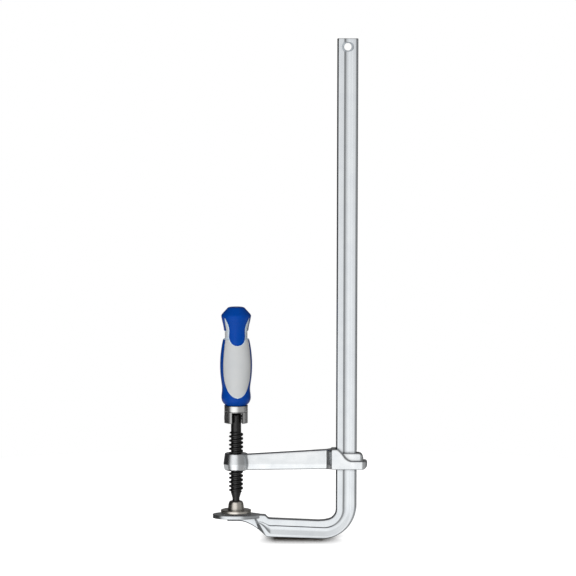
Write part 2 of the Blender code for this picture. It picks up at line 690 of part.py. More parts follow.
def spindle_shape():
    """Ball, neck and taper below the thread; plain shank and round head above it."""
    meet = math.degrees(math.asin(NECK_RADIUS / BALL_RADIUS))
    ball = [(r, BALL_CENTRE + z) for r, z in arc((0, 0), BALL_RADIUS, 90 - meet, -90, BALL_STEPS)]
    ball[-1] = (0, ball[-1][1])
    below = [(NECK_RADIUS, SPINDLE_TAPER_BOTTOM), *ball]
    head = [(r, PIN_HEIGHT + z) for r, z in arc((0, 0), THREAD_ROOT_RADIUS, 0, 90, 5)]
    head[-1] = (0, head[-1][1])
    return threaded_rod(
        below, head, THREAD_LOW, THREAD_HIGH, THREAD_ROOT_RADIUS, THREAD_CREST_RADIUS,
        THREAD_CREST_WIDTH, THREAD_FLANK_WIDTH, spindle_radius
    )


def lying_cylinder(radius, half_length, segments, round_end=0.0):
    """A cylinder along X, centred on the frame it is drawn in."""
    profile = [(radius - round_end, -half_length), (radius, round_end - half_length),
               (radius, half_length - round_end), (radius - round_end, half_length)]
    if not round_end:
        profile = [profile[0], profile[-1]]
    shape = revolve(profile, segments)
    for v in shape.verts:
        x, y, z = v.co
        v.co = (z, y, -x)
    return shape


def make_spindle(clamp, pivot):
    spindle = part("spindle", spindle_shape(), clamp, Vector((0, 0, BALL_CENTRE)))
    hole = lying_cylinder(PIN_RADIUS + PIN_CLEARANCE, THREAD_CREST_RADIUS, PIN_SEGMENTS)
    shape_with(spindle, "DIFFERENCE", "head_pin_hole", hole, pivot)


def make_ball_seat(clamp):
    """A thin cup over the ball, open at the top so that it snaps on."""
    inner = BALL_RADIUS + SEAT_GAP
    outer = inner + SEAT_THICKNESS
    mouth = 90 - SEAT_MOUTH_DEG
    profile = arc((0, BALL_CENTRE), outer, -90, mouth, 5) + arc((0, BALL_CENTRE), inner, mouth, -90, 5)
    profile[0] = (0, profile[0][1])
    profile[-1] = (0, profile[-1][1])
    part("ball_seat", revolve(profile, SEAT_SEGMENTS), clamp, Vector((0, 0, BALL_CENTRE)))


def make_swivel_pad(clamp):
    """Flange and bell as one turned piece, hollow round the seat."""
    floor = PAD_BOTTOM
    top = floor + PAD_FLANGE
    edge = PAD_EDGE_ROUND
    cavity = BALL_RADIUS + 2 * SEAT_GAP + SEAT_THICKNESS
    outside = [(0, floor), (PAD_RADIUS - edge, floor), (PAD_RADIUS, floor + edge), (PAD_RADIUS, top - edge),
               (PAD_RADIUS - edge, top), (BELL_BASE_RADIUS + edge, top), (BELL_BASE_RADIUS, top + edge),
               (BELL_SIDE_RADIUS, top + BELL_SIDE_HEIGHT)]
    shoulder = quadratic(outside[-1], (BELL_SIDE_RADIUS - edge, BELL_RIM_TOP), (BELL_RIM_RADIUS, BELL_RIM_TOP), 5)
    mouth_deg = math.degrees(math.acos(BELL_MOUTH_RADIUS / cavity))
    inside = [(BELL_MOUTH_RADIUS, BELL_RIM_TOP)] + arc((0, BALL_CENTRE), cavity, mouth_deg, -90, 5)
    inside[-1] = (0, inside[-1][1])
    profile = outside + shoulder[1:] + inside
    part("swivel_pad", revolve(profile, PAD_SEGMENTS), clamp, Vector((0, 0, BALL_CENTRE)))


def handle_radius(share):
    """Outer radius of the handle at a share of its length."""
    for (low, a), (high, b) in zip(HANDLE_PROFILE_SHARES, HANDLE_PROFILE_SHARES[1:]):
        if low <= share <= high:
            return HANDLE_RADIUS * (a + (b - a) * (share - low) / (high - low))
    return HANDLE_RADIUS * HANDLE_PROFILE_SHARES[-1][1]


def handle_bottom():
    """Height of the handle's lower face over the pin."""
    return FORK_SHOULDER + PIECE_GAP


def core_profile():
    return [(HANDLE_RADIUS * r, handle_bottom() + HANDLE_LENGTH * z) for z, r in HANDLE_PROFILE_SHARES]


def grip_profile(inset):
    """The grip's outer surface, with the waist drawn in, or a surface inset from it."""
    floor = OVAL_SIDE_SHARES[0][1] - 2 * WAIST_BLEND_SHARE
    roof = HORN_SIDE_SHARES[-1][1] + 2 * WAIST_BLEND_SHARE
    shares = [z for z, _ in HANDLE_PROFILE_SHARES if floor < z < roof]
    shares = [z for z in shares if not WAIST_LOW_SHARE - WAIST_BLEND_SHARE <= z <= WAIST_HIGH_SHARE]
    points = [(z, handle_radius(z)) for z in (floor, *shares, roof)]
    for z in (WAIST_LOW_SHARE - WAIST_BLEND_SHARE, WAIST_HIGH_SHARE + WAIST_BLEND_SHARE):
        points.append((z, handle_radius(z)))
    for z in (WAIST_LOW_SHARE, WAIST_HIGH_SHARE):
        points.append((z, HANDLE_RADIUS * WAIST_RADIUS_SHARE))
    return [(r - inset, handle_bottom() + HANDLE_LENGTH * z) for z, r in sorted(points)]


def grip_outline(grow):
    """Front outline of the grip, moved outwards by grow."""
    wing = ((WING_REACH_SHARE, WAIST_LOW_SHARE), (WING_REACH_SHARE, WAIST_HIGH_SHARE))
    half = smooth_through(OVAL_SIDE_SHARES, 2) + list(wing)
    half += smooth_through(HORN_SIDE_SHARES, 2) + smooth_through(TONGUE_EDGE_SHARES, 2)
    right = [Vector((HANDLE_RADIUS * x, handle_bottom() + HANDLE_LENGTH * z)) for x, z in half]
    loop = right + [Vector((-p.x, p.y)) for p in reversed(right[1:-1])]
    moved = []
    for before, here, after in zip([loop[-1], *loop], loop, [*loop[1:], loop[0]]):
        way = (after - before).normalized()
        moved.append(tuple(here + grow * Vector((way.y, -way.x))))
    return moved


def make_handle_grip(pivot):
    ring = revolve(grip_profile(0) + list(reversed(grip_profile(GRIP_THICKNESS))), HANDLE_SEGMENTS, closed=True)
    grip = part("handle_grip", ring, pivot)
    window = prism(grip_outline(-PIECE_GAP / 2), 1, -2 * HANDLE_RADIUS, 2 * HANDLE_RADIUS)
    shape_with(grip, "INTERSECT", "grip_window", window, pivot)


def make_handle_core(pivot):
    """The hard body: pocketed for the grip and bored for the fork's tang."""
    core = part("handle_core", revolve(core_profile(), HANDLE_SEGMENTS), pivot)
    inner = grip_profile(GRIP_THICKNESS + PIECE_GAP)
    wide = [(2 * HANDLE_RADIUS, inner[-1][1]), (2 * HANDLE_RADIUS, inner[0][1])]
    ring = revolve(inner + wide, HANDLE_SEGMENTS, closed=True)
    pocket = shape_with(core, "DIFFERENCE", "grip_pocket", ring, pivot)
    window = prism(grip_outline(PIECE_GAP / 2), 1, -3 * HANDLE_RADIUS, 3 * HANDLE_RADIUS)
    shape_with(pocket, "INTERSECT", "pocket_window", window, pivot)
    bore_radius = TANG_RADIUS + PIECE_GAP
    bore_top = FORK_SHOULDER + TANG_LENGTH + PIECE_GAP
    bore = revolve([(bore_radius, FORK_SHOULDER - OVERRUN), (bore_radius, bore_top)], TANG_SIDES)
    shape_with(core, "DIFFERENCE", "tang_socket", bore, pivot)


def slot_top():
    """Height of the fork slot's closed end over the pin: it clears the spindle's round head."""
    return THREAD_ROOT_RADIUS + FORK_HEAD_CLEARANCE


def make_handle_fork(pivot):
    """Slotted round socket with a six-sided tang and a blind bore for the detent."""
    chamfer = FORK_CHAMFER
    profile = [(FORK_RADIUS - chamfer, -FORK_BELOW_PIN), (FORK_RADIUS, chamfer - FORK_BELOW_PIN),
               (FORK_RADIUS, FORK_SHOULDER - chamfer), (FORK_RADIUS - chamfer, FORK_SHOULDER)]
    fork = part("handle_fork", revolve(profile, PAD_SEGMENTS), pivot)
    tang = [(TANG_RADIUS, FORK_SHOULDER - OVERRUN), (TANG_RADIUS, FORK_SHOULDER + TANG_LENGTH - chamfer),
            (TANG_RADIUS - chamfer, FORK_SHOULDER + TANG_LENGTH)]
    shape_with(fork, "UNION", "tang_shape", revolve(tang, TANG_SIDES), pivot)
    half = FORK_SLOT_WIDTH / 2
    low = -FORK_BELOW_PIN - OVERRUN
    slot = [(-half, low), (half, low), (half, slot_top()), (-half, slot_top())]
    shape_with(fork, "DIFFERENCE", "slot_cutter", prism(slot, 1, -2 * FORK_RADIUS, 2 * FORK_RADIUS), pivot)
    pin = lying_cylinder(PIN_RADIUS + PIN_CLEARANCE, FORK_RADIUS + OVERRUN, PIN_SEGMENTS)
    shape_with(fork, "DIFFERENCE", "fork_pin_hole", pin, pivot)
    radius = PLUNGER_RADIUS + BORE_CLEARANCE
    bore = revolve([(radius, slot_top() - OVERRUN), (radius, detent_top())], DETENT_SEGMENTS)
    shape_with(fork, "DIFFERENCE", "detent_bore", bore, pivot)


def detent_top():
    """Closed end of the detent bore, over plunger and spring with a gap at each."""
    return slot_top() + PLUNGER_LENGTH + SPRING_SPACE + 2 * PIECE_GAP


def make_pivot_pin(pivot):
    half = FORK_RADIUS - PIN_END_ROUND
    part("pivot_pin", lying_cylinder(PIN_RADIUS, half, PIN_SEGMENTS, PIN_END_ROUND), pivot)


def make_detent(pivot):
    """A flat-nosed plunger on the spindle's head, and the spring that pushes it."""
    nose = slot_top()
    edge = PIN_END_ROUND
    body_top = nose + PLUNGER_LENGTH
    stem_top = body_top + PLUNGER_STEM_LENGTH
    profile = [(0, nose), (PLUNGER_RADIUS - edge, nose), (PLUNGER_RADIUS, nose + edge), (PLUNGER_RADIUS, body_top),
               (PLUNGER_STEM_RADIUS, body_top), (PLUNGER_STEM_RADIUS, stem_top), (0, stem_top)]
    part("detent_plunger", revolve(profile, DETENT_SEGMENTS), pivot)
    coil = bpy.data.curves.new("detent_spring", "CURVE")
    coil.dimensions = "3D"
    coil.bevel_depth = SPRING_WIRE_RADIUS
    coil.bevel_resolution = 1
    coil.use_fill_caps = True
    line = coil.splines.new("POLY")
    steps = SPRING_TURNS * SPRING_STEPS_PER_TURN
    line.points.add(steps)
    low = body_top + PIECE_GAP + SPRING_WIRE_RADIUS
    high = detent_top() - PIECE_GAP - SPRING_WIRE_RADIUS
    radius = PLUNGER_RADIUS - SPRING_WIRE_RADIUS
    for i, point in enumerate(line.points):
        angle = 2 * math.pi * i / SPRING_STEPS_PER_TURN
        height = low + (high - low) * i / steps
        point.co = (radius * math.cos(angle), radius * math.sin(angle), height, 1)
    spring = bpy.data.objects.new("detent_spring", coil)
    spring.parent = pivot
    coil.materials.append(finish_material("detent_spring"))
    bpy.context.collection.objects.link(spring)


def build_clamp():
    clear_scene()
    clamp = empty_at("clamp_frame", (SCREW_X, 0, 0))
    pivot = empty_at("handle_pivot", (0, 0, PIN_HEIGHT), clamp)
    pivot.rotation_euler.z = math.radians(HANDLE_TURN_DEG)
    make_rail(clamp)
    make_sliding_arm(clamp)
    make_spindle(clamp, pivot)
    make_ball_seat(clamp)
    make_swivel_pad(clamp)
    make_handle_fork(pivot)
    make_pivot_pin(pivot)
    make_detent(pivot)
    make_handle_core(pivot)
    make_handle_grip(pivot)


build_clamp()
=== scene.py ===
import math

import bmesh
import bpy
from mathutils import Matrix, Vector


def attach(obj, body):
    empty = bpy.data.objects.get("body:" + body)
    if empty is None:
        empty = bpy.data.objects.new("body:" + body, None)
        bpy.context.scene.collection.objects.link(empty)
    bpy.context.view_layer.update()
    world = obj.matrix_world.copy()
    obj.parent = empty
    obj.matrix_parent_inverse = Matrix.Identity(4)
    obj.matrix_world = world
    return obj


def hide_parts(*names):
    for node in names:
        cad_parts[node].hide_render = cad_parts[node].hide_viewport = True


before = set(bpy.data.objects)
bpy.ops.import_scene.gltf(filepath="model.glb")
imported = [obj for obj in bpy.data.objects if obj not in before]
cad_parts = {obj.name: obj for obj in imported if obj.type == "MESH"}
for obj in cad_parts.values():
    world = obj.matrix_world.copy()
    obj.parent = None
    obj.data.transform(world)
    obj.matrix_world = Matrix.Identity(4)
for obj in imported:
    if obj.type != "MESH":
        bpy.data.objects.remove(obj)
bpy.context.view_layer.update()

# The pieces are drawn in millimetres, with X measured from the screw's axis, as in the CAD source
MM = 0.001
SCREW_X = -64.8

# The rail and its bend
THROAT, RAIL_OUTER, RAIL_TOP = 120.0, 145.0, 600.0
RAIL_THICKNESS = 12.0
RAIL_EDGE, ARM_EDGE = 3.2, 1.3
RAIL_TIP = ((0.9, 0.0), (0.25, 0.25), (0.0, 0.9))  # (inset of the section, distance below the top)
STRAIGHT_TOP, STRAIGHT_STEP, STRAIGHT_SECTIONS = 560, 62.5, 9
SLOPE = math.radians(2.3)
BEND_INNER, BEND_OUTER, BEND_STEPS = 14.3, 41.2, 28
ARM_DEPTH = 22.1
ARM_SECTION = (99, 99.9)  # top X and foot X of the section between the bend and the head

# The web in the inner bend: its depth, how much of that goes again, and the shares of the turn
WEB_DEPTH, WEB_LOSS = 0.9, 0.3
WEB_START, WEB_FULL = 0.45, 0.85

# The groove's section, from its edge nearer the throat: (share of its width, share of its depth)
GROOVE = (
    (0, 0), (0.035, 0.073), (0.070, 0.258), (0.120, 0.586), (0.160, 0.749), (0.205, 0.844),
    (0.270, 0.921), (0.350, 0.973), (0.440, 1), (0.500, 0.991), (0.580, 0.921), (0.670, 0.753),
    (0.760, 0.515), (0.850, 0.254), (0.920, 0.085), (0.970, 0.015), (1, 0),
)
GROOVE_DEPTH = 1.27
RAIL_GROOVE, ARM_GROOVE = (8.1, 18.8), (7.35, 19.0)

# The anvil plate, and its shoulders from its widest place to the arm: (X, half-width)
ANVIL_TOP, ANVIL_THICKNESS, ANVIL_REACH = 29.1, 4.1, 28.0
ANVIL_LENGTH, ANVIL_WIDTH = 48.0, 37.0
ANVIL_BEVEL, ANVIL_TIP_STEPS = 1.3, 48
ANVIL_SHOULDERS = (
    (2, 18.4), (8, 17.9), (13, 16.6), (17.5, 14.2), (21.5, 11.2), (25, 8.2), (28.5, 5.9),
)
SHARP_CORNER = 1.0  # radians between two faces at the plate's rim

# The arm's end: (top X, share of the step climbed, foot X, groove from, groove to, groove depth)
HEAD_KEYS = (
    (46.1, 0.00, 47.0, 7.4, 19.0, 1.27), (40.7, 0.02, 44.0, 7.9, 19.4, 1.27),
    (38.3, 0.18, 42.3, 8.2, 20.2, 1.20), (36.0, 0.72, 41.0, 10.2, 21.5, 1.05),
    (34.4, 0.88, 39.8, 10.1, 20.9, 0.92), (28.1, 0.96, 38.2, 8.8, 15.6, 0.62),
    (22.2, 1.00, 36.9, 9.0, 11.4, 0.32),
)
HEAD_FOOT_DROP = 0.35
HEAD_END_TOP, HEAD_END_FOOT, HEAD_END_LINE = 21.8, 36.4, 36.5
HEAD_END_INSET, HEAD_END_THINNER, HEAD_END_EDGE = 0.2, 0.9, 1.2
HEAD_END_GROOVE = (9.0, 12.5)

# The rib's lower edge, from the arm's foot to the screw's far side, and its last section
RIB_LINE = (
    (27.3, 10.3), (24.4, 12.5), (21.2, 14.6), (18.2, 16.3), (15.1, 17.8), (12.0, 19.1),
    (9.0, 20.0), (5.5, 20.6), (1.5, 20.7), (-9.9, 20.7),
)
RIB_TOP_START = 21.0
RIB_THICKNESS, RIB_EDGE = 6, 2.9
RIB_END_X, RIB_END_RISE, RIB_END_THICKNESS, RIB_END_EDGE = -10.6, 0.5, 5.2, 2.4

# The hole at the rail's tip, with its chamfers, and how far the cutter goes past each face
HOLE_HEIGHT, HOLE_RADIUS, HOLE_CHAMFER, HOLE_PAST = 590, 4.5, 1.2, 4

# The sliding arm: heights are above its bottom
ARM_BOTTOM = 82.5
BOSS_LOW_RADIUS, BOSS_LOW_ROUND = 14.3, 2.5
BOSS_PARTING = (15.4, 8.0)
BOSS_TOP_RADIUS, BOSS_TOP_ROUND, BOSS_HEIGHT = 13.8, 1.4, 20.8
BEAM_START, BEAM_HALF = 6, 5.8
BEAM_DRAFT, BEAM_ROUND, BEAM_PARTING = 0.5, 1.5, 7.7
BEAM_LOW, BEAM_LOW_CLIMB, BEAM_TOP, BEAM_TOP_CLIMB = 0.4, 1.7, 18.9, 7.0
FLARE_START, FLARE_END = THROAT - 11.8, THROAT - 4.6
FLARE_BEND = (4.1, 8.6)  # (distance from the flare's start, half-thickness)
EYE_HALF, EYE_BOTTOM, EYE_TOP, EYE_FRONT = 12.4, 2.2, 26.5, 5.4
CLAMP_RIGHT = 157.6
STRAP_TOP, STRAP_FOOT_ROUND, STRAP_EDGE, STRAP_CORNER = 12.2, 5.8, 1.2, 8.5
STRAP_SWEEP = (  # the strap's upper edge towards the beam: (distance past the throat, height)
    (20.5, 0), (17.2, 0.35), (14.7, 1.3), (11.7, 3.5), (9.5, 6.3), (7.3, 9.3), (4.3, 12.4),
    (1.8, EYE_TOP - STRAP_TOP),
)
RING_HALF, RING_BOTTOM, RING_TOP, RING_FRONT = 9.7, 3.1, 21.5, 5.6
RING_RIGHT, RING_ROUND, RING_CORNER = RAIL_OUTER + 8.0, 6, 5.8
PLAN_LEFT, PLAN_SLACK, PLAN_TOP = -4, 0.3, 300  # the cutter that rounds the eye in plan
PASSAGE_GAP, PASSAGE_EDGE, PASSAGE_BELOW, PASSAGE_ABOVE = 0.4, 2.5, 4, 31
VOXEL, QUICK_VOXEL = 0.5, 0.9

# The screw; a ridge is one pitch of thread: (distance along the axis, share of the crest's height)
PITCH, ROOT, CREST = 5.0, 6.15, 8.6
THREAD_LOW, THREAD_HIGH, THREAD_START = 55.5, 129.5, math.radians(112)
THREAD_FADE, THREAD_CLEARANCE, CAP_GAP = 2.5, 0.3, 0.3
SPINDLE_RIDGE = (
    (0, 0), (0.14, 0.22), (0.38, 0.58), (0.70, 0.85), (1.10, 0.97), (1.70, 1.0), (2.30, 0.97),
    (2.70, 0.85), (3.02, 0.58), (3.26, 0.22), (3.40, 0), (4.20, 0),
)
BOSS_RIDGE = ((0, 0), (0.8, 1), (3.2, 1), (4.0, 0))
NECK_RADIUS, TAPER_LOW, TAPER_HIGH = 4.3, 48.7, 55.1
BALL_CENTRE, BALL_RADIUS = 39.6, 5.4
PIN_HEIGHT, PIN_RADIUS, PIN_HALF, PIN_ROUND, PIN_SEGMENTS = 146.3, 2.5, 13.5, 0.5, 32
PIN_HOLE, HEAD_HOLE_HALF, FORK_HOLE_HALF = 2.7, 9.0, 18

# The swivel pad: face, flange, bell and mouth
PAD_FACE, FLANGE_TOP, FLANGE_RADIUS, FLANGE_ROUND = 31.15, 34.55, 18.3, 0.8
BELL_FOOT, BELL_SHOULDER, BELL_BEND, BELL_TOP = (9.9, 34.55), (9.3, 40.1), (8.6, 45.3), (6.2, 45.3)
MOUTH = ((5.4, 45.3), (5.1, 45.0))
SOCKET_RADIUS, SOCKET_ANGLE = 6.9, 42.4

# The folding handle: (share of its length, share of its radius), bottom to crown
HANDLE_LOW, HANDLE_LENGTH, HANDLE_RADIUS = 161.3, 118.0, 19.3
HANDLE_TURN = math.radians(7)
PROFILE = (
    (0.000, 0.660), (0.012, 0.745), (0.032, 0.845), (0.058, 0.902), (0.085, 0.917),
    (0.118, 0.900), (0.155, 0.877), (0.192, 0.884), (0.238, 0.920), (0.290, 0.963),
    (0.350, 0.991), (0.410, 1.000), (0.470, 0.990), (0.530, 0.960), (0.588, 0.913),
    (0.640, 0.855), (0.684, 0.793), (0.718, 0.760), (0.752, 0.757), (0.785, 0.775),
    (0.825, 0.822), (0.870, 0.888), (0.903, 0.925),
)
CROWN = (
    (0.913, 0.928), (0.922, 0.905), (0.935, 0.850), (0.976, 0.615), (0.988, 0.555),
    (0.996, 0.490), (1.000, 0.400),
)

# The grip: its rows, its waist, and its outline seen from the front as (share of the handle's
# radius, share of its length): the oval's side, the band at the waist, a horn, the tongue's edge
GRIP_START, GRIP_STEP, GRIP_ROWS = 0.060, 0.008, 108
WAIST, WAIST_RADIUS = (0.674, 0.684, 0.754, 0.764), 0.700
OVAL_SIDE = (
    (0.000, 0.079), (0.290, 0.096), (0.545, 0.141), (0.740, 0.222), (0.840, 0.320),
    (0.858, 0.440), (0.800, 0.570), (0.715, 0.670),
)
BAND_SIDE = ((1.15, 0.684), (1.15, 0.754))
HORN_SIDE = ((0.655, 0.765), (0.735, 0.840), (0.778, 0.890))
TONGUE_EDGE = (
    (0.748, 0.896), (0.668, 0.868), (0.545, 0.825), (0.478, 0.768), (0.487, 0.703),
    (0.430, 0.660), (0.265, 0.627), (0.000, 0.615),
)
GRIP_DEPTH, POCKET_DEPTH, SEAM = 2.0, 2.2, 0.12
GRIP_SPAN, POCKET_WIDTH, POCKET_SPAN = 40, 40, 60  # helpers that reach past the handle
HANDLE_SEGMENTS = 128

# The fork: a slotted socket with a fine seam round it
FORK_LOW, FORK_HIGH, FORK_RADIUS, FORK_ROUND = 139.7, 161.0, 14.3, 0.7
FORK_SEAM = ((14.3, 153.2), (13.9, 153.5), (13.9, 153.7), (14.3, 154.0))
SLOT_HALF, SLOT_LOW, SLOT_HIGH, SLOT_SPAN = 6.4, 135, PIN_HEIGHT + 6.5, 28

TURNED_SEGMENTS = 96


def arc(centre, radius, start_deg, end_deg, steps):
    points = []
    for i in range(steps + 1):
        angle = math.radians(start_deg + (end_deg - start_deg) * i / steps)
        points.append((centre[0] + radius * math.cos(angle), centre[1] + radius * math.sin(angle)))
    return points


def quadratic(start, bend, end, steps):
    """A curve from start to end that leans towards the bend."""
    points = []
    for i in range(steps + 1):
        t = i / steps
        weights = ((1 - t) ** 2, 2 * t * (1 - t), t ** 2)
        corners = list(zip(weights, (start, bend, end)))
        points.append(tuple(sum(w * p[k] for w, p in corners) for k in (0, 1)))
    return points


def smooth_through(points, steps):
    """A smooth line through points of any dimension."""
    ends = [points[0], *points, points[-1]]
    line = []
    for a, b, c, d in zip(ends, ends[1:], ends[2:], ends[3:]):
        for i in range(steps):
            t = i / steps
            line.append(tuple(
                0.5 * (2 * q + (r - p) * t + (2 * p - 5 * q + 4 * r - s) * t ** 2
                       + (3 * q - p - 3 * r + s) * t ** 3)
                for p, q, r, s in zip(a, b, c, d)
            ))
    return line + [tuple(points[-1])]


def smoothstep(low, high, x):
    t = min(1.0, max(0.0, (x - low) / (high - low)))
    return t * t * (3 - 2 * t)


def loft(rings):
    """A closed skin over rings of equal count."""
    shape = bmesh.new()
    loops = [[shape.verts.new(p) for p in ring] for ring in rings]
    for low, high in zip(loops, loops[1:]):
        for i in range(len(low)):
            j = (i + 1) % len(low)
            shape.faces.new((low[i], low[j], high[j], high[i]))
    shape.faces.new(loops[0])
    shape.faces.new(loops[-1])
    return shape


def turned_ring(shape, radius, height, count, start=0.0):
    """The vertices of one turned ring, or the single vertex on the axis."""
    angles = [start + 2 * math.pi * i / count for i in range(count if radius > 0 else 1)]
    return [shape.verts.new((radius * math.cos(a), radius * math.sin(a), height)) for a in angles]


def join_rings(shape, low, high, count):
    """Faces between two turned rings, either of which may be a single vertex."""
    for i in range(count):
        j = (i + 1) % count
        corners = [low[i % len(low)], low[j % len(low)], high[j % len(high)], high[i % len(high)]]
        corners = [v for k, v in enumerate(corners) if v not in corners[:k]]
        if len(corners) > 2:
            shape.faces.new(corners)


def revolve(profile, segments, closed=False):
    """A turned shape from (radius, height) points; a closed profile makes a ring."""
    shape = bmesh.new()
    rings = [turned_ring(shape, radius, height, segments) for radius, height in profile]
    pairs = list(zip(rings, rings[1:]))
    if closed:
        pairs.append((rings[-1], rings[0]))
    for low, high in pairs:
        join_rings(shape, low, high, segments)
    if not closed:
        for ring in (rings[0], rings[-1]):
            if len(ring) > 1:
                shape.faces.new(ring)
    return shape


def prism(outline, axis, low, high):
    """An outline drawn out along Y (axis 1) or Z (axis 2)."""
    rings = []
    for level in (low, high):
        rings.append([(a, level, b) if axis == 1 else (a, b, level) for a, b in outline])
    return loft(rings)


def rounded(profile, radius, steps=4):
    """Round each inner corner of an open profile whose points carry no curve yet."""
    most = 2.2  # a rounding takes at most 1/2.2 of each side
    line = [profile[0]]
    for a, b, c in zip(profile, profile[1:], profile[2:]):
        a, b, c = Vector(a), Vector(b), Vector(c)
        reach = min(radius, (a - b).length / most, (c - b).length / most)
        start, end = b + (a - b).normalized() * reach, b + (c - b).normalized() * reach
        line += quadratic(start, b, end, steps)
    return line + [profile[-1]]


def raw_object(shape):
    bmesh.ops.recalc_face_normals(shape, faces=shape.faces)
    mesh = bpy.data.meshes.new("work")
    shape.to_mesh(mesh)
    shape.free()
    made = bpy.data.objects.new("work", mesh)
    bpy.context.collection.objects.link(made)
    return made


def worked(shape, steps):
    """The mesh a shape has after the steps: Booleans with other shapes, or modifiers."""
    base = raw_object(shape)
    helpers = []
    for kind, detail in steps:
        if kind in ("UNION", "DIFFERENCE", "INTERSECT"):
            helper = raw_object(detail)
            helpers.append(helper)
            step = base.modifiers.new(kind, "BOOLEAN")
            step.operation = kind
            step.solver = "EXACT"
            step.object = helper
        else:
            step = base.modifiers.new(kind, kind)
            for key, value in detail.items():
                setattr(step, key, value)
    bpy.context.view_layer.update()
    evaluated = base.evaluated_get(bpy.context.evaluated_depsgraph_get())
    mesh = bpy.data.meshes.new_from_object(evaluated)
    for used in (base, *helpers):
        bpy.data.objects.remove(used, do_unlink=True)
    return mesh


def as_shape(mesh):
    shape = bmesh.new()
    shape.from_mesh(mesh)
    return shape


def dressed(name, shape, steps, body, node, material, turn=0.0, sharp_deg=32):
    """A finished piece that stands for a CAD node: worked, shaded, placed and riding its body."""
    mesh = worked(shape, steps)
    mesh.shade_smooth()
    mesh.set_sharp_from_angle(angle=math.radians(sharp_deg))
    mesh = worked(as_shape(mesh), [("WEIGHTED_NORMAL", {"keep_sharp": True})])
    stand = Matrix.Translation((SCREW_X * MM, 0, 0))
    mesh.transform(stand @ Matrix.Rotation(turn, 4, "Z") @ Matrix.Scale(MM, 4))
    mesh.name = name
    made = bpy.data.objects.new(name, mesh)
    bpy.context.collection.objects.link(made)
    mesh.materials.clear()
    mesh.materials.append(material)
    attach(made, body)
    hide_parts(node)
    return made


# The bent rail, its head and the anvil

def bend_centres():
    """The centres of the inner and the outer bend, as (X, height)."""
    rise = Vector((math.sin(SLOPE), math.cos(SLOPE)))
    outer = Vector((RAIL_OUTER - BEND_OUTER, BEND_OUTER))
    foot = outer - BEND_OUTER * rise
    inner_x = THROAT - BEND_INNER
    climb = ARM_DEPTH + BEND_INNER - rise.x * (inner_x - foot.x)
    return Vector((inner_x, foot.y + climb / rise.y)), outer


def arm_line(x, below):
    """Height of the fixed arm's upper edge, or of its lower edge, at x."""
    inner, outer = bend_centres()
    rise = Vector((math.sin(SLOPE), math.cos(SLOPE)))
    start = outer - BEND_OUTER * rise if below else inner - BEND_INNER * rise
    return start.y + (start.x - x) * math.tan(SLOPE)


def bar_ring(station):
    """One section of the bar: rounded edges, and in both faces a groove with one steep wall."""
    x0, z0, x1, z1, thickness, edge, depth, start, end = station
    inner, outer = Vector((x0, z0)), Vector((x1, z1))
    width = (outer - inner).length
    across = (outer - inner) / width
    half = thickness / 2
    near = arc((edge, edge - half), edge, 180, 270, 6)
    near += [(start + (end - start) * share, depth * level - half) for share, level in GROOVE]
    near += arc((width - edge, edge - half), edge, 270, 360, 6)
    flat = near + [(u, -v) for u, v in reversed(near)]
    return [(inner.x + across.x * u, v, inner.y + across.y * u) for u, v in flat]


def rail_stations():
    """Sections from the rail's tip down, round the bend and onto the fixed arm."""
    stations = []
    for cut, drop in RAIL_TIP:
        z = RAIL_TOP - drop
        groove = [edge - cut for edge in RAIL_GROOVE]
        stations.append((THROAT + cut, z, RAIL_OUTER - cut, z, RAIL_THICKNESS - 2 * cut,
                         RAIL_EDGE, GROOVE_DEPTH, *groove))
    for n in range(STRAIGHT_SECTIONS):
        z = STRAIGHT_TOP - n * STRAIGHT_STEP
        stations.append((THROAT, z, RAIL_OUTER, z, RAIL_THICKNESS, RAIL_EDGE, GROOVE_DEPTH,
                         *RAIL_GROOVE))
    inner, outer = bend_centres()
    for i in range(BEND_STEPS + 1):
        share = i / BEND_STEPS
        turn = smoothstep(0, 1, share)
        angle = (math.pi / 2 + SLOPE) * share
        ray = Vector((math.cos(angle), -math.sin(angle)))
        web = (WEB_DEPTH * smoothstep(WEB_START, WEB_FULL, share)
               - WEB_LOSS * smoothstep(WEB_FULL, 1, share))
        a, b = inner + (BEND_INNER - web) * ray, outer + BEND_OUTER * ray
        groove = [r + (m - r) * turn + web for r, m in zip(RAIL_GROOVE, ARM_GROOVE)]
        edge = RAIL_EDGE - (RAIL_EDGE - ARM_EDGE) * turn
        stations.append((a.x, a.y, b.x, b.y, RAIL_THICKNESS, edge, GROOVE_DEPTH, *groove))
    top_x, foot_x = ARM_SECTION
    stations.append((top_x, arm_line(top_x, False), foot_x, arm_line(foot_x, True),
                     RAIL_THICKNESS, ARM_EDGE, GROOVE_DEPTH, *ARM_GROOVE))
    return stations


def head_stations():
    """The arm's end: the step up to the anvil plate, with the groove running out to a point."""
    stations = []
    for top_x, climb, foot_x, start, end, depth in HEAD_KEYS:
        base = arm_line(top_x, False)
        foot = arm_line(foot_x, True) - HEAD_FOOT_DROP
        stations.append((top_x, base + (ANVIL_TOP - base) * climb, foot_x, foot, RAIL_THICKNESS,
                         ARM_EDGE, depth, start, end))
    stations = smooth_through(stations, 4)
    last_foot = arm_line(HEAD_END_LINE, True)
    stations.append((HEAD_END_TOP, ANVIL_TOP - HEAD_END_INSET, HEAD_END_FOOT,
                     last_foot + HEAD_END_INSET, RAIL_THICKNESS - HEAD_END_THINNER,
                     HEAD_END_EDGE, 0, *HEAD_END_GROOVE))
    return stations


def rib_section(top_x, x, z, thickness, edge):
    """A section with a groove of no depth, from inside the plate to the rib's lower edge."""
    top = ANVIL_TOP - ANVIL_THICKNESS / 2
    width = math.hypot(x - top_x, z - top)
    return (top_x, top, x, z, thickness, edge, 0, 0.45 * width, 0.55 * width)


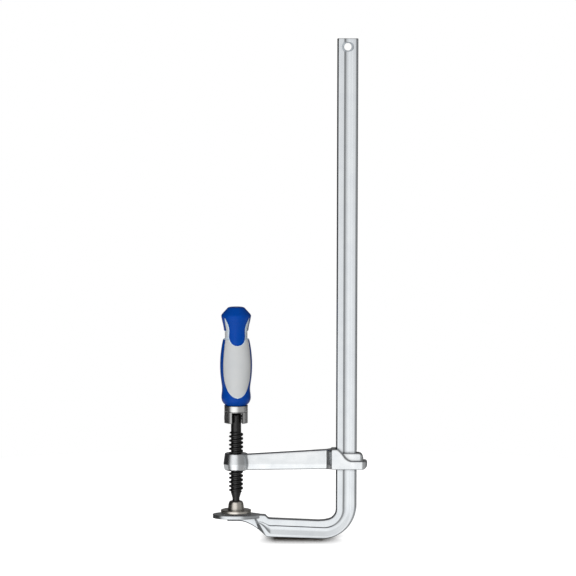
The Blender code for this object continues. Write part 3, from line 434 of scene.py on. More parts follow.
def rib_stations():
    """The thin rib from the arm's foot to the anvil plate's underside."""
    first, last = RIB_LINE[0][0], RIB_LINE[-1][0]
    stations = []
    for x, z in smooth_through(RIB_LINE, 3):
        top_x = RIB_TOP_START + (x - first) * (RIB_TOP_START - last) / (first - last)
        stations.append(rib_section(top_x, x, z, RIB_THICKNESS, RIB_EDGE))
    end_z = RIB_LINE[-1][1] + RIB_END_RISE
    stations.append(rib_section(RIB_END_X, RIB_END_X, end_z, RIB_END_THICKNESS, RIB_END_EDGE))
    return stations


def anvil_plate():
    """The oval plate: half an ellipse at the tip, then shoulders that narrow to the arm."""
    half_length, half_width = ANVIL_LENGTH / 2, ANVIL_WIDTH / 2
    centre = half_length - ANVIL_REACH
    side = []
    for i in range(ANVIL_TIP_STEPS + 1):
        angle = math.pi * i / (2 * ANVIL_TIP_STEPS)
        side.append((centre - half_length * math.cos(angle), half_width * math.sin(angle)))
    side += smooth_through([(centre, half_width), *ANVIL_SHOULDERS], 4)[1:]
    outline = side + [(x, -y) for x, y in reversed(side[1:])]
    plate = prism(outline, 2, ANVIL_TOP - ANVIL_THICKNESS, ANVIL_TOP)
    rim = [e for e in plate.edges
           if len(e.link_faces) == 2 and e.calc_face_angle() > SHARP_CORNER]
    bmesh.ops.bevel(plate, geom=rim, offset=ANVIL_BEVEL, segments=5, affect="EDGES",
                    profile=0.5, clamp_overlap=True)
    return plate


def hanging_hole():
    """The cutter for the tip's hole, with a chamfer at the groove's floor on both sides."""
    face = RAIL_THICKNESS / 2 - GROOVE_DEPTH
    wide = HOLE_RADIUS + HOLE_CHAMFER + HOLE_PAST
    hole = revolve([(wide, -face - HOLE_PAST), (HOLE_RADIUS, HOLE_CHAMFER - face),
                    (HOLE_RADIUS, face - HOLE_CHAMFER), (wide, face + HOLE_PAST)], 64)
    for v in hole.verts:
        x, y, z = v.co
        v.co = ((THROAT + RAIL_OUTER) / 2 + x, z, HOLE_HEIGHT - y)
    return hole


# The forged sliding arm

def boss():
    side = arc((BOSS_LOW_RADIUS - BOSS_LOW_ROUND, ARM_BOTTOM + BOSS_LOW_ROUND),
               BOSS_LOW_ROUND, 270, 360, 8)
    side.append((BOSS_PARTING[0], ARM_BOTTOM + BOSS_PARTING[1]))
    side += arc((BOSS_TOP_RADIUS - BOSS_TOP_ROUND, ARM_BOTTOM + BOSS_HEIGHT - BOSS_TOP_ROUND),
                BOSS_TOP_ROUND, 0, 90, 6)
    return revolve(side, TURNED_SEGMENTS)


def beam():
    """The drafted beam from inside the boss to the flare at the eye."""
    bend = (FLARE_START + FLARE_BEND[0], FLARE_BEND[1])
    flare = quadratic((FLARE_START, BEAM_HALF), bend, (FLARE_END, EYE_HALF), 12)
    rings = []
    for x, half in [(BEAM_START, BEAM_HALF), *flare]:
        along = x / FLARE_END
        low = ARM_BOTTOM + BEAM_LOW + BEAM_LOW_CLIMB * along
        top = ARM_BOTTOM + BEAM_TOP + BEAM_TOP_CLIMB * along
        corner = half - BEAM_DRAFT - BEAM_ROUND
        side = arc((corner, low + BEAM_ROUND), BEAM_ROUND, 270, 360, 4)
        side.append((half, ARM_BOTTOM + BEAM_PARTING))
        side += arc((corner, top - BEAM_ROUND), BEAM_ROUND, 0, 90, 4)
        rings.append([(x, y, z) for y, z in side] + [(x, -y, z) for y, z in reversed(side)])
    return loft(rings)


def eye_layer(outline, half, right, corner):
    """A layer of the eye: its outline seen from the front, with rounded ends in plan."""
    side = half + PLAN_SLACK
    reach = right + PLAN_SLACK - corner
    lower = arc((reach, corner - side), corner, 270, 360, 10)
    upper = arc((reach, side - corner), corner, 0, 90, 10)
    plan = [(PLAN_LEFT, -side), *lower, *upper, (PLAN_LEFT, side)]
    cutter = prism(plan, 2, 0, PLAN_TOP)
    return as_shape(worked(prism(outline, 1, -half, half), [("INTERSECT", cutter)]))


def strap():
    """The eye's outer layer: high at the beam, sweeping down to a low strap."""
    low, high, top = ARM_BOTTOM + EYE_BOTTOM, ARM_BOTTOM + STRAP_TOP, ARM_BOTTOM + EYE_TOP
    left = THROAT - EYE_FRONT
    foot = arc((CLAMP_RIGHT - STRAP_FOOT_ROUND, low + STRAP_FOOT_ROUND),
               STRAP_FOOT_ROUND, 270, 360, 12)
    corner = arc((CLAMP_RIGHT - STRAP_EDGE, high - STRAP_EDGE), STRAP_EDGE, 0, 90, 4)
    slope = smooth_through([(THROAT + x, high + z) for x, z in STRAP_SWEEP], 5)
    outline = [(left, low), *foot, *corner, *slope, (left, top)]
    return eye_layer(outline, EYE_HALF, CLAMP_RIGHT, STRAP_CORNER)


def inner_ring():
    """The eye's inner layer, which stands above the strap and has a rounded end."""
    low, top = ARM_BOTTOM + RING_BOTTOM, ARM_BOTTOM + RING_TOP
    left = THROAT - RING_FRONT
    corner = arc((RING_RIGHT - RING_ROUND, top - RING_ROUND), RING_ROUND, 0, 90, 12)
    outline = [(left, low), (RING_RIGHT, low), *corner, (left, top)]
    return eye_layer(outline, RING_HALF, RING_RIGHT, RING_CORNER)


def rail_passage():
    """The cutter for the eye's passage, clear of the rail all round."""
    half = RAIL_THICKNESS / 2 + PASSAGE_GAP
    left, right = THROAT - PASSAGE_GAP, RAIL_OUTER + PASSAGE_GAP
    corners = ((left, -half, 180), (right, -half, 270), (right, half, 0), (left, half, 90))
    outline = []
    for x, y, start in corners:
        centre = (x + (PASSAGE_EDGE if x == left else -PASSAGE_EDGE),
                  y + (PASSAGE_EDGE if y < 0 else -PASSAGE_EDGE))
        outline += arc(centre, PASSAGE_EDGE, start, start + 90, 6)
    return prism(outline, 2, ARM_BOTTOM - PASSAGE_BELOW, ARM_BOTTOM + PASSAGE_ABOVE)


# The screw, its ball and the swivel pad

def threaded_rod(below, above, low, high, rise, ridge, base_radius, segments):
    """A sheared grid whose rows follow the helix, closed by turned rings at both ends."""
    shape = bmesh.new()
    rows = len(ridge)
    first = low - PITCH
    turns = math.ceil((high - first) / PITCH)
    ends = (first - CAP_GAP, first + PITCH * (turns + 1) + CAP_GAP)
    columns = []
    for i in range(segments):
        angle = THREAD_START + 2 * math.pi * i / segments
        column = []
        for row in range(rows * turns + 1):
            lift, share = ridge[row % rows]
            z = first + PITCH * (row // rows + i / segments) + lift
            fade = min(1, max(0, (z - low) / THREAD_FADE), max(0, (high - z) / THREAD_FADE))
            r = base_radius(z) + rise * share * fade
            column.append(shape.verts.new((r * math.cos(angle), r * math.sin(angle), z)))
        columns.append(column)
    for i, column in enumerate(columns):
        shift = rows if i == segments - 1 else 0
        after = columns[(i + 1) % segments]
        for row in range(len(column) - 1 - shift):
            shape.faces.new((column[row], after[row + shift], after[row + shift + 1],
                             column[row + 1]))
    for past, z, bottom in ((below, ends[0], True), (above, ends[1], False)):
        cap_rod(shape, columns, [(base_radius(z), z), *past], rows, bottom)
    return shape


def cap_rod(shape, columns, profile, rows, bottom):
    """Close one end of the helical skin with turned rings, the first one next to the thread."""
    count = len(columns)
    rings = [turned_ring(shape, radius, z, count, THREAD_START) for radius, z in profile]
    row = 0 if bottom else -1
    near = rings[0]
    for i in range(count - 1):
        shape.faces.new((near[i], near[i + 1], columns[i + 1][row], columns[i][row]))
    if bottom:
        shape.faces.new((near[-1], near[0], *columns[0][:rows + 1], columns[-1][0]))
    else:
        shape.faces.new((near[0], near[-1], *reversed(columns[-1][-rows - 1:]), columns[0][-1]))
    for low, high in zip(rings, rings[1:]):
        join_rings(shape, low, high, count)
    if len(rings[-1]) > 1:
        shape.faces.new(rings[-1])


def shank_radius(z):
    """The rod's radius under the thread, which tapers to the neck below it."""
    taper = (ROOT - NECK_RADIUS) / (TAPER_HIGH - TAPER_LOW)
    return ROOT if z >= TAPER_HIGH else ROOT - taper * (TAPER_HIGH - z)


def spindle():
    meet = math.degrees(math.asin(NECK_RADIUS / BALL_RADIUS))
    ball = arc((0, BALL_CENTRE), BALL_RADIUS, 90 - meet, -90, 14)
    ball[-1] = (0, ball[-1][1])
    head = [(ROOT, PIN_HEIGHT + z) for _, z in arc((0, 0), ROOT, 0, 80, 12)]
    head.append((0, head[-1][1]))
    rod = threaded_rod([(NECK_RADIUS, TAPER_LOW), *ball], head, THREAD_LOW, THREAD_HIGH,
                       CREST - ROOT, SPINDLE_RIDGE, shank_radius, 56)
    # The head is rounded about the pin only, so that it fills the fork's slot from side to side
    for v in rod.verts:
        if v.co.z > PIN_HEIGHT:
            half_depth = math.sqrt(ROOT ** 2 - (v.co.z - PIN_HEIGHT) ** 2)
            v.co.y = max(-half_depth, min(half_depth, v.co.y))
    return rod


def boss_thread():
    """The cutter for the boss's own thread, clear of the spindle's all round."""
    bore = ROOT + THREAD_CLEARANCE
    turns_below = math.floor((ARM_BOTTOM - THREAD_FADE - THREAD_LOW) / PITCH)
    rod = threaded_rod([], [], THREAD_LOW + PITCH * turns_below, ARM_BOTTOM + BOSS_HEIGHT + PITCH,
                       CREST - ROOT, BOSS_RIDGE, lambda z: bore, 40)
    bmesh.ops.translate(rod, verts=rod.verts, vec=(0, 0, -THREAD_CLEARANCE))
    return rod


def lying_cylinder(radius, half_length, round_end=0.0):
    """A cylinder along X at the pin's height."""
    profile = [(radius - round_end, -half_length), (radius, round_end - half_length),
               (radius, half_length - round_end), (radius - round_end, half_length)]
    if not round_end:
        profile = [profile[0], profile[-1]]
    shape = revolve(profile, PIN_SEGMENTS)
    for v in shape.verts:
        x, y, z = v.co
        v.co = (z, y, PIN_HEIGHT - x)
    return shape


def swivel_pad():
    """Flange and bell, turned as one piece, hollow round the ball."""
    flange = rounded([(0, PAD_FACE), (FLANGE_RADIUS, PAD_FACE), (FLANGE_RADIUS, FLANGE_TOP),
                      BELL_FOOT, BELL_SHOULDER], FLANGE_ROUND)
    shoulder = quadratic(BELL_SHOULDER, BELL_BEND, BELL_TOP, 10)
    inside = arc((0, BALL_CENTRE), SOCKET_RADIUS, SOCKET_ANGLE, -90, 12)
    inside[-1] = (0, inside[-1][1])
    return revolve([*flange, *shoulder[1:], *MOUTH, *inside], TURNED_SEGMENTS)


# The folding handle

BODY_LINE = smooth_through(PROFILE, 4) + list(CROWN)


def handle_radius(share):
    """The body's radius share at a share of its length."""
    for (low, a), (high, b) in zip(BODY_LINE, BODY_LINE[1:]):
        if low <= share <= high:
            return a + (b - a) * (share - low) / (high - low)
    return BODY_LINE[-1][1]


def at_handle(points, inset=0.0):
    return [(HANDLE_RADIUS * r - inset, HANDLE_LOW + HANDLE_LENGTH * z) for z, r in points]


def grip_line():
    """The grip's outer surface, with the waist drawn in."""
    a, b, c, d = WAIST
    rows = [GRIP_START + GRIP_STEP * i for i in range(GRIP_ROWS)]
    points = [(z, handle_radius(z)) for z in rows if not a <= z <= d]
    points += [(a, handle_radius(a)), (d, handle_radius(d)), (b, WAIST_RADIUS), (c, WAIST_RADIUS)]
    return sorted(points)


def grip_outline(grow):
    """The grip seen from the front, moved outwards by grow."""
    half = smooth_through(OVAL_SIDE, 8) + list(BAND_SIDE)
    half += smooth_through(HORN_SIDE, 8) + smooth_through(TONGUE_EDGE, 8)
    right = [Vector((HANDLE_RADIUS * x, HANDLE_LOW + HANDLE_LENGTH * z)) for x, z in half]
    loop = right + [Vector((-p.x, p.y)) for p in reversed(right[1:-1])]
    moved = []
    for before, here, after in zip([loop[-1], *loop], loop, [*loop[1:], loop[0]]):
        way = (after - before).normalized()
        moved.append(tuple(here + grow * Vector((way.y, -way.x))))
    return moved


def handle_grip():
    line = grip_line()
    skin = at_handle(line) + list(reversed(at_handle(line, GRIP_DEPTH)))
    cutter = prism(grip_outline(-SEAM), 1, -GRIP_SPAN, GRIP_SPAN)
    return revolve(skin, HANDLE_SEGMENTS, closed=True), [("INTERSECT", cutter)]


def handle_core():
    inner = at_handle(grip_line(), POCKET_DEPTH)
    wide = [(POCKET_WIDTH, inner[-1][1]), (POCKET_WIDTH, inner[0][1])]
    cutter = prism(grip_outline(SEAM), 1, -POCKET_SPAN, POCKET_SPAN)
    pocket = worked(revolve(inner + wide, HANDLE_SEGMENTS, closed=True), [("INTERSECT", cutter)])
    return revolve(at_handle(BODY_LINE), HANDLE_SEGMENTS), [("DIFFERENCE", as_shape(pocket))]


def handle_fork():
    """Slotted round socket; its tang is inside the handle."""
    side = [(0, FORK_LOW), (FORK_RADIUS, FORK_LOW), *FORK_SEAM, (FORK_RADIUS, FORK_HIGH),
            (0, FORK_HIGH)]
    slot = [(-SLOT_HALF, SLOT_LOW), (SLOT_HALF, SLOT_LOW), (SLOT_HALF, SLOT_HIGH),
            (-SLOT_HALF, SLOT_HIGH)]
    return revolve(rounded(side, FORK_ROUND), TURNED_SEGMENTS), [
        ("DIFFERENCE", prism(slot, 1, -SLOT_SPAN, SLOT_SPAN)),
        ("DIFFERENCE", lying_cylinder(PIN_HOLE, FORK_HOLE_HALF)),
    ]


# Materials: the reach of a painted dark edge, of a painted shaded hollow or of a painted light rim
# is in millimetres, a noise's scale per metre

# The colour of the painted shade along outer edges and in hollows
PAINTED_SHADE = (0.06, 0.065, 0.07)
# Clearances over which the painted shade at edges and in hollows, and the painted rim highlight,
# fade out
EDGE_CLEAR, HOLLOW_CLEAR, RIM_HIGHLIGHT_CLEAR = (0.45, 0.92), (0.36, 0.94), (0.52, 0.92)
# How far the painted rim highlight reaches, and how strong it is
RIM_HIGHLIGHT_REACH, RIM_HIGHLIGHT_SHARE = 1.8, 0.95
DRAWN_SCALE, GLOSS_MIX = 700.0, (0.75, 1.25)
OXIDE_CLOUD, OXIDE_GRAIN, OXIDE_ROUGH = 260.0, 2400.0, (0.20, 0.32)
OXIDE_TONES = (0.003, 0.003, 0.003, 1), (0.007, 0.007, 0.007, 1)
MOULD_CLOUD, MOULD_GLOSS, MOULD_ROUGH = 45.0, 320.0, (-0.04, 0.05)
BUMP_DISTANCE = 0.0001  # metres


def add(tree, kind, inputs=None, **settings):
    """A node with its settings; an input may be a value or another node's output."""
    node = tree.nodes.new(kind)
    for key, value in settings.items():
        setattr(node, key, value)
    for key, value in (inputs or {}).items():
        if isinstance(value, bpy.types.NodeSocket):
            tree.links.new(value, node.inputs[key])
        else:
            node.inputs[key].default_value = value
    return node


def calculated(tree, operation, first, second=None):
    """The result of an operation on one or two values or outputs."""
    inputs = {0: first} if second is None else {0: first, 1: second}
    return add(tree, "ShaderNodeMath", inputs, operation=operation).outputs["Value"]


def noise(tree, place, scale, detail=4.0, rough=0.55):
    inputs = {"Vector": place, "Scale": scale, "Detail": detail, "Roughness": rough}
    return add(tree, "ShaderNodeTexNoise", inputs).outputs["Fac"]


def spread(tree, value, low, high, from_low=0.3, from_high=0.7):
    """Map a value onto the range low to high; without a range of its own it is a noise value."""
    inputs = {"Value": value, "From Min": from_low, "From Max": from_high,
              "To Min": low, "To Max": high}
    return add(tree, "ShaderNodeMapRange", inputs).outputs["Result"]


def rising(tree, value, start, end):
    """0 up to start, 1 from end on."""
    return spread(tree, value, 0, 1, start, end)


def falling(tree, value, start, end):
    """1 up to start, 0 from end on."""
    return spread(tree, value, 1, 0, start, end)


def blend(tree, factor, first, second):
    """Mix two colours by a factor; either may be a colour or a node's output."""
    node = add(tree, "ShaderNodeMix", data_type="RGBA")
    for socket, value in (("Factor_Float", factor), ("A_Color", first), ("B_Color", second)):
        target = next(s for s in node.inputs if s.identifier == socket)
        if isinstance(value, bpy.types.NodeSocket):
            tree.links.new(value, target)
        else:
            target.default_value = value
    return next(s for s in node.outputs if s.identifier == "Result_Color")


def surface(name, **sockets):
    """A Principled material whose even values sit on the shader's own sockets."""
    material = bpy.data.materials.new(name)
    material.use_nodes = True
    tree = material.node_tree
    shader = tree.nodes["Principled BSDF"]
    for key, value in sockets.items():
        shader.inputs[key.replace("_", " ")].default_value = value
    place = add(tree, "ShaderNodeTexCoord").outputs["Object"]
    return material, tree, shader, place


def stretched(tree, place, scale):
    return add(tree, "ShaderNodeMapping", {"Vector": place, "Scale": scale}).outputs["Vector"]


def bumped(tree, shader, height, strength):
    inputs = {"Height": height, "Strength": strength, "Distance": BUMP_DISTANCE}
    bump = add(tree, "ShaderNodeBump", inputs)
    tree.links.new(bump.outputs["Normal"], shader.inputs["Normal"])


def clearance(tree, distance, inside):
    """How open the space is round a point, or how thick the piece is behind it, from 0 to 1."""
    return add(tree, "ShaderNodeAmbientOcclusion", {"Distance": distance * MM}, samples=8,
               inside=inside, only_local=inside).outputs["AO"]


def with_painted_shade(tree, tone, reach, edge, hollow, hollow_shade):
    """Paint shade onto a colour: darker along outer edges, and in hollows and next to other pieces.
    """
    edges = spread(tree, clearance(tree, reach, True), edge, 0.0, *EDGE_CLEAR)
    hollows = spread(tree, clearance(tree, hollow, False), hollow_shade, 0.0, *HOLLOW_CLEAR)
    return blend(tree, calculated(tree, "MAXIMUM", edges, hollows), tone, (*PAINTED_SHADE, 1))


def steel(name, bright, dull, rough, along, grain, patch=60.0, reach=1.6, edge=0.6, hollow=4.0,
          hollow_shade=0.8):
    """Plated steel: cloudy tone and gloss, fine drawn grain, and painted shade along edges and in
    hollows.
    """
    material, tree, shader, place = surface(name, Metallic=1.0)
    cloud = noise(tree, place, patch)
    draw = noise(tree, stretched(tree, place, along), DRAWN_SCALE, 3.0)
    tone = blend(tree, spread(tree, cloud, 0, 1), (*bright, 1), (*dull, 1))
    # Painted shade: darker along the edges and in the hollows
    tone = with_painted_shade(tree, tone, reach, edge, hollow, hollow_shade)
    tree.links.new(tone, shader.inputs["Base Color"])
    mixed = calculated(tree, "ADD", cloud, draw)
    tree.links.new(spread(tree, mixed, *rough, *GLOSS_MIX), shader.inputs["Roughness"])
    bumped(tree, shader, draw, grain)
    return material


def black_oxide():
    material, tree, shader, place = surface("black_oxide", Specular_IOR_Level=0.60)
    cloud = noise(tree, place, OXIDE_CLOUD)
    tone = blend(tree, spread(tree, cloud, 0, 1), *OXIDE_TONES)
    tree.links.new(tone, shader.inputs["Base Color"])
    tree.links.new(spread(tree, cloud, *OXIDE_ROUGH), shader.inputs["Roughness"])
    bumped(tree, shader, noise(tree, place, OXIDE_GRAIN, 3.0), 0.20)
    return material


def moulded(name, first, second, rough, grain, depth, rim_highlight=None, **sockets):
    """Moulded plastic or rubber with a fine spark texture, and optionally a painted highlight: a
    lighter colour along its edges.
    """
    material, tree, shader, place = surface(name, **sockets)
    cloud = noise(tree, place, MOULD_CLOUD)
    tone = blend(tree, spread(tree, cloud, 0, 1), (*first, 1), (*second, 1))
    if rim_highlight:
        # A painted highlight: a lighter colour along the edges
        edges = spread(tree, clearance(tree, RIM_HIGHLIGHT_REACH, True), RIM_HIGHLIGHT_SHARE, 0.0, *RIM_HIGHLIGHT_CLEAR)
        tone = blend(tree, edges, tone, (*rim_highlight, 1))
    tree.links.new(tone, shader.inputs["Base Color"])
    gloss = spread(tree, noise(tree, place, MOULD_GLOSS), *[rough + step for step in MOULD_ROUGH])
    tree.links.new(gloss, shader.inputs["Roughness"])
    bumped(tree, shader, noise(tree, place, grain, 2.0), depth)
    return material


# The drawn grain's frequency along X, Y and Z
ALONG_Z, TURNED, EVEN = (1, 1, 0.02), (0.05, 0.05, 1), (1, 1, 1)

# Each steel gets painted shade along its edges and in its hollows
RAIL_STEEL = steel("plated_rail", (0.76, 0.79, 0.81), (0.71, 0.74, 0.77), (0.14, 0.20), ALONG_Z,
                   grain=0.015, reach=2.0, edge=0.65)
ARM_STEEL = steel("plated_forging", (0.92, 0.94, 0.95), (0.82, 0.85, 0.87), (0.18, 0.27), EVEN,
                  grain=0.08, patch=70.0, reach=2.0, edge=0.75, hollow=6.0)
PAD_STEEL = steel("warm_steel", (0.91, 0.86, 0.79), (0.74, 0.70, 0.63), (0.20, 0.28), TURNED,
                  grain=0.05)
FORK_STEEL = steel("bright_steel", (0.94, 0.94, 0.93), (0.86, 0.86, 0.85), (0.16, 0.24), TURNED,
                   grain=0.04, hollow=14.0, hollow_shade=1.0)
SMALL_STEEL = steel("small_steel", (0.66, 0.66, 0.66), (0.50, 0.50, 0.51), (0.24, 0.36), EVEN,
                    grain=0.10)
OXIDE = black_oxide()
BLUE = moulded("blue_polypropylene", (0.0, 0.058, 0.375), (0.0, 0.068, 0.420), rough=0.30,
               grain=1900.0, depth=0.15, Specular_IOR_Level=0.20)
# The grey rubber gets a painted light-blue highlight along its rim
GREY = moulded("grey_rubber", (0.65, 0.67, 0.68), (0.70, 0.71, 0.71), rough=0.55,
               grain=2600.0, depth=0.25, rim_highlight=(0.70, 0.85, 1.0))
IVORY = moulded("ivory_seat", (0.62, 0.60, 0.52), (0.70, 0.67, 0.60), rough=0.45,
                grain=1200.0, depth=0.10)


# The pieces

def build_rail():
    rings = [bar_ring(s) for s in rail_stations() + head_stations() + rib_stations()]
    steps = [("UNION", anvil_plate()), ("DIFFERENCE", hanging_hole())]
    dressed("rail_skin", loft(rings), steps, "rail", "fixed_rail", RAIL_STEEL)


def build_arm():
    """The arm's solids are joined, then softened like a forging, then cut for rail and screw."""
    voxel = VOXEL
    steps = [("UNION", beam()), ("UNION", strap()), ("UNION", inner_ring()),
             ("REMESH", {"mode": "VOXEL", "voxel_size": voxel}),
             ("SMOOTH", {"factor": 0.5, "iterations": 8}),
             ("DIFFERENCE", rail_passage()), ("DIFFERENCE", boss_thread())]
    dressed("arm_forging", boss(), steps, "arm", "sliding_arm", ARM_STEEL,
            sharp_deg=50)


def build_screw():
    hole = lying_cylinder(PIN_HOLE, HEAD_HOLE_HALF)
    bmesh.ops.rotate(hole, verts=hole.verts, cent=(0, 0, 0),
                     matrix=Matrix.Rotation(HANDLE_TURN, 3, "Z"))
    dressed("screw_spindle", spindle(), [("DIFFERENCE", hole)], "screw", "spindle",
            OXIDE)
    dressed("turned_pad", swivel_pad(), [], "pad", "swivel_pad", PAD_STEEL)


def build_handle():
    shape, steps = handle_grip()
    dressed("soft_grip", shape, steps, "handle", "handle_grip", GREY, HANDLE_TURN,
            sharp_deg=50)
    shape, steps = handle_core()
    dressed("handle_body", shape, steps, "handle", "handle_core", BLUE,
            HANDLE_TURN)
    shape, steps = handle_fork()
    dressed("fork_socket", shape, steps, "handle", "handle_fork", FORK_STEEL,
            HANDLE_TURN)
    dressed("fork_pin", lying_cylinder(PIN_RADIUS, PIN_HALF, PIN_ROUND), [], "handle", "pivot_pin",
            SMALL_STEEL, HANDLE_TURN)


def finish_small_nodes():
    """The hidden pieces keep their CAD meshes and get a finish."""
    finishes = {"ball_seat": IVORY, "detent_plunger": SMALL_STEEL, "detent_spring": SMALL_STEEL}
    for name, material in finishes.items():
        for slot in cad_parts[name].material_slots:
            slot.material = material


# Floor, light and camera

WHITE = (1, 1, 1, 1)
FLOOR_RADIUS, FLOOR_SIDES, FLOOR_COLOUR, FLOOR_GLOW = 0.8, 96, (0.82, 0.82, 0.82, 1), 0.85

# The shadow under the fixed arm: how far it looks, how it leans to front and back, and where it
# ends along X
SHADOW_REACH, SHADOW_LEAN, SHADOW_UP = 0.048, 0.85, 0.5
SHADOW_OPEN = (0.48, 0.91)
SHADOW_LEFT, SHADOW_RIGHT = (-0.042, -0.018), (0.038, 0.074)
SHADOW_COLOUR = (0.100, 0.083, 0.070, 1)

# The studio that gloss shows, round the horizon: (place, level). The camera's side is 0.5, the
# left 0.25, the right 0.75
STUDIO = (
    (0.00, 0.14), (0.08, 0.04), (0.264, 0.02), (0.303, 0.07), (0.333, 0.25), (0.362, 0.70),
    (0.390, 0.92), (0.42, 1.04), (0.45, 1.04), (0.50, 0.96), (0.522, 0.84), (0.547, 0.55),
    (0.575, 0.34), (0.70, 0.29), (0.74, 0.25), (0.78, 0.13), (0.92, 0.08), (1.00, 0.14),
)
# How the walls' level goes from low down to the horizon: (level, level, Z, Z)
WALL_FALL = (1.24, 0.93, -0.20, 0.02)
# Low panels for views of the sides, the dark ground and ceiling, a panel for views of the back.
# Each pair is where a panel starts and stops fading in or out, along one axis of the direction
PANEL, PANEL_LOW, PANEL_HIGH, PANEL_FRONT = 0.50, (-0.66, -0.54), (-0.25, -0.20), (-0.25, -0.05)
BEYOND, BEYOND_SLANT, BEYOND_FRONT = (0.06, 0.06, 0.07, 1), (0.35, 0.60), (-0.74, -0.46)
BEYOND_SIDE = (0.26, 0.46)
WINDOW, WINDOW_BACK, WINDOW_TOP = 0.75, (0.84, 0.92), (-0.06, -0.02)
PLAIN_LIGHT = 0.13

LIGHT_TARGET = Vector((0, 0, 0.3))
CAMERA_PITCH, CAMERA_ROLL = math.radians(4.5), math.radians(0.13)
CAMERA_TARGET, CAMERA_DISTANCE = Vector((-0.0028, 0, 0.3022)), 3.470
SENSOR, FOCAL_PIXELS, PHOTO_PIXELS, CAMERA_REACH = 36.0, 2900, 576, 50


def seen_straight(tree):
    """1 for a ray from the camera or through glass, else 0."""
    path = add(tree, "ShaderNodeLightPath").outputs
    return calculated(tree, "MAXIMUM", path["Is Camera Ray"], path["Is Transmission Ray"])


def seen_as_background(tree):
    """1 for a ray from the camera, or through gloss or glass; 0 for light on the object."""
    glossy = add(tree, "ShaderNodeLightPath").outputs["Is Glossy Ray"]
    return calculated(tree, "MAXIMUM", seen_straight(tree), glossy)


def floor_shade(tree):
    """How dark the shadow is at a point of the floor, from 0 to 1."""
    sides = []
    for lean in (SHADOW_LEAN, -SHADOW_LEAN):
        tilted = add(tree, "ShaderNodeCombineXYZ", {"X": 0.0, "Y": lean, "Z": SHADOW_UP})
        inputs = {"Distance": SHADOW_REACH, "Normal": tilted.outputs["Vector"]}
        sides.append(add(tree, "ShaderNodeAmbientOcclusion", inputs, samples=12).outputs["AO"])
    clear = calculated(tree, "MINIMUM", *sides)
    place = add(tree, "ShaderNodeTexCoord").outputs["Object"]
    along = add(tree, "ShaderNodeSeparateXYZ", {"Vector": place}).outputs["X"]
    foot = calculated(tree, "MULTIPLY", rising(tree, along, *SHADOW_LEFT),
                      falling(tree, along, *SHADOW_RIGHT))
    return calculated(tree, "MULTIPLY", falling(tree, clear, *SHADOW_OPEN), foot)


def build_floor():
    """A pale disc that reads as white, with a soft shadow in front of and behind the fixed arm."""
    mesh = bpy.data.meshes.new("floor")
    rim = []
    for i in range(FLOOR_SIDES):
        angle = math.pi * i / (FLOOR_SIDES / 2)
        rim.append((FLOOR_RADIUS * math.cos(angle), FLOOR_RADIUS * math.sin(angle), 0))
    mesh.from_pydata(rim, [], [tuple(range(FLOOR_SIDES))])
    floor = bpy.data.objects.new("floor", mesh)
    bpy.context.collection.objects.link(floor)
    material = bpy.data.materials.new("floor")
    material.use_nodes = True
    tree = material.node_tree
    shader = tree.nodes["Principled BSDF"]
    shader.inputs["Base Color"].default_value = FLOOR_COLOUR
    shader.inputs["Roughness"].default_value = 0.9
    shader.inputs["Specular IOR Level"].default_value = 0.0
    glow = add(tree, "ShaderNodeEmission", {"Color": WHITE, "Strength": FLOOR_GLOW})
    white = add(tree, "ShaderNodeAddShader",
                {0: shader.outputs["BSDF"], 1: glow.outputs["Emission"]}).outputs["Shader"]
    dark = add(tree, "ShaderNodeBsdfDiffuse", {"Color": SHADOW_COLOUR}).outputs["BSDF"]
    shaded = add(tree, "ShaderNodeMixShader",
                 {0: floor_shade(tree), 1: white, 2: dark}).outputs["Shader"]
    mixed = add(tree, "ShaderNodeMixShader",
                {0: seen_as_background(tree), 1: shader.outputs["BSDF"], 2: shaded})
    tree.links.new(mixed.outputs["Shader"], tree.nodes["Material Output"].inputs["Surface"])
    mesh.materials.append(material)
    floor.visible_glossy = False


def studio_walls(tree, x, y, z):
    """The walls round the horizon, a little brighter low down."""
    turn = calculated(tree, "ARCTAN2", x, calculated(tree, "MULTIPLY", y, -1.0))
    ramp = add(tree, "ShaderNodeValToRGB", {"Fac": rising(tree, turn, -math.pi, math.pi)})
    elements = ramp.color_ramp.elements
    while len(elements) < len(STUDIO):
        elements.new(0.5)
    for element, (at, _) in zip(elements, STUDIO):
        element.position = at
    for element, (_, level) in zip(elements, STUDIO):
        element.color = (level, level, level, 1)
    inputs = {0: ramp.outputs["Color"], "Scale": spread(tree, z, *WALL_FALL)}
    return add(tree, "ShaderNodeVectorMath", inputs, operation="SCALE").outputs["Vector"]


def studio(tree):
    """What gloss shows by direction: the walls, with the panels over them."""
    place = add(tree, "ShaderNodeTexCoord").outputs["Generated"]
    parts = add(tree, "ShaderNodeSeparateXYZ", {"Vector": place}).outputs
    x, y, z = parts["X"], parts["Y"], parts["Z"]
    room = studio_walls(tree, x, y, z)
    band = calculated(tree, "MULTIPLY", rising(tree, z, *PANEL_LOW),
                      falling(tree, z, *PANEL_HIGH))
    low = calculated(tree, "MULTIPLY", band, rising(tree, y, *PANEL_FRONT))
    room = blend(tree, low, room, (PANEL, PANEL, PANEL, 1))
    slant, aside = calculated(tree, "ABSOLUTE", z), calculated(tree, "ABSOLUTE", x)
    beyond = calculated(tree, "MULTIPLY", rising(tree, slant, *BEYOND_SLANT),
                        rising(tree, y, *BEYOND_FRONT))
    beyond = calculated(tree, "MULTIPLY", beyond, falling(tree, aside, *BEYOND_SIDE))
    room = blend(tree, beyond, room, BEYOND)
    window = calculated(tree, "MULTIPLY", rising(tree, y, *WINDOW_BACK),
                        falling(tree, z, *WINDOW_TOP))
    return blend(tree, window, room, (WINDOW, WINDOW, WINDOW, 1))


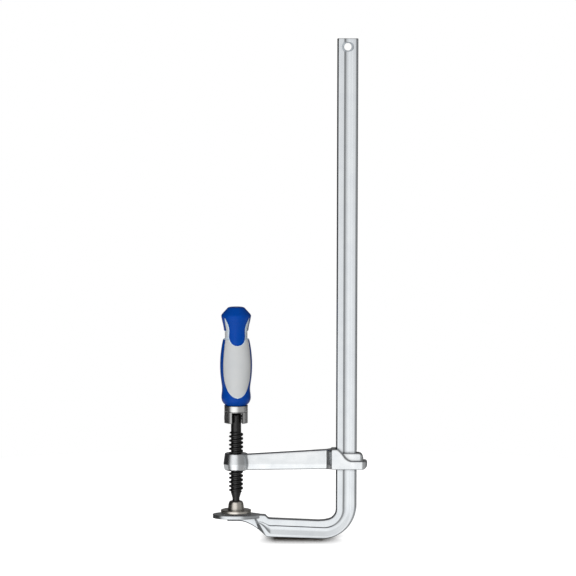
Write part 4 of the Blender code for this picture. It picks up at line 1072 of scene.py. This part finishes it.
def build_world():
    """Plain light for the object, the studio for its gloss and white for the camera."""
    world = bpy.data.worlds.new("studio")
    world.use_nodes = True
    bpy.context.scene.world = world
    tree = world.node_tree
    tree.nodes.clear()
    shown = blend(tree, seen_straight(tree), studio(tree), WHITE)
    backdrop = add(tree, "ShaderNodeBackground", {"Color": shown, "Strength": 1.0})
    plain = add(tree, "ShaderNodeBackground", {"Color": WHITE, "Strength": PLAIN_LIGHT})
    mixed = add(tree, "ShaderNodeMixShader", {0: seen_as_background(tree),
                                              1: plain.outputs["Background"],
                                              2: backdrop.outputs["Background"]})
    out = add(tree, "ShaderNodeOutputWorld")
    tree.links.new(mixed.outputs["Shader"], out.inputs["Surface"])


def area_light(name, place, size, watts):
    """A large soft lamp that gloss doesn't show: it reflects the studio walls instead."""
    lamp = bpy.data.lights.new(name, "AREA")
    lamp.shape = "RECTANGLE"
    lamp.size, lamp.size_y = size
    lamp.energy = watts
    made = bpy.data.objects.new(name, lamp)
    made.location = place
    made.rotation_euler = (LIGHT_TARGET - Vector(place)).to_track_quat("-Z", "Y").to_euler()
    made.visible_glossy = False
    bpy.context.collection.objects.link(made)


def build_camera():
    data = bpy.data.cameras.new("camera")
    data.sensor_width = SENSOR
    data.lens = SENSOR * FOCAL_PIXELS / PHOTO_PIXELS
    data.clip_end = CAMERA_REACH
    camera = bpy.data.objects.new("camera", data)
    way = Vector((0, -math.cos(CAMERA_PITCH), math.sin(CAMERA_PITCH)))
    camera.location = CAMERA_TARGET + CAMERA_DISTANCE * way
    tilt = Matrix.Rotation(math.pi / 2 - CAMERA_PITCH, 3, "X")
    camera.rotation_euler = (tilt @ Matrix.Rotation(CAMERA_ROLL, 3, "Z")).to_euler()
    bpy.context.collection.objects.link(camera)
    bpy.context.scene.camera = camera


build_rail()
build_arm()
build_screw()
build_handle()
finish_small_nodes()
build_floor()
build_world()
area_light("key", (-0.40, -2.6, 0.7), size=(0.9, 1.9), watts=54)
area_light("fill", (0.2, 2.7, 1.2), size=(1.6, 1.6), watts=38)
build_camera()
bpy.context.scene.view_settings.view_transform = "Standard"
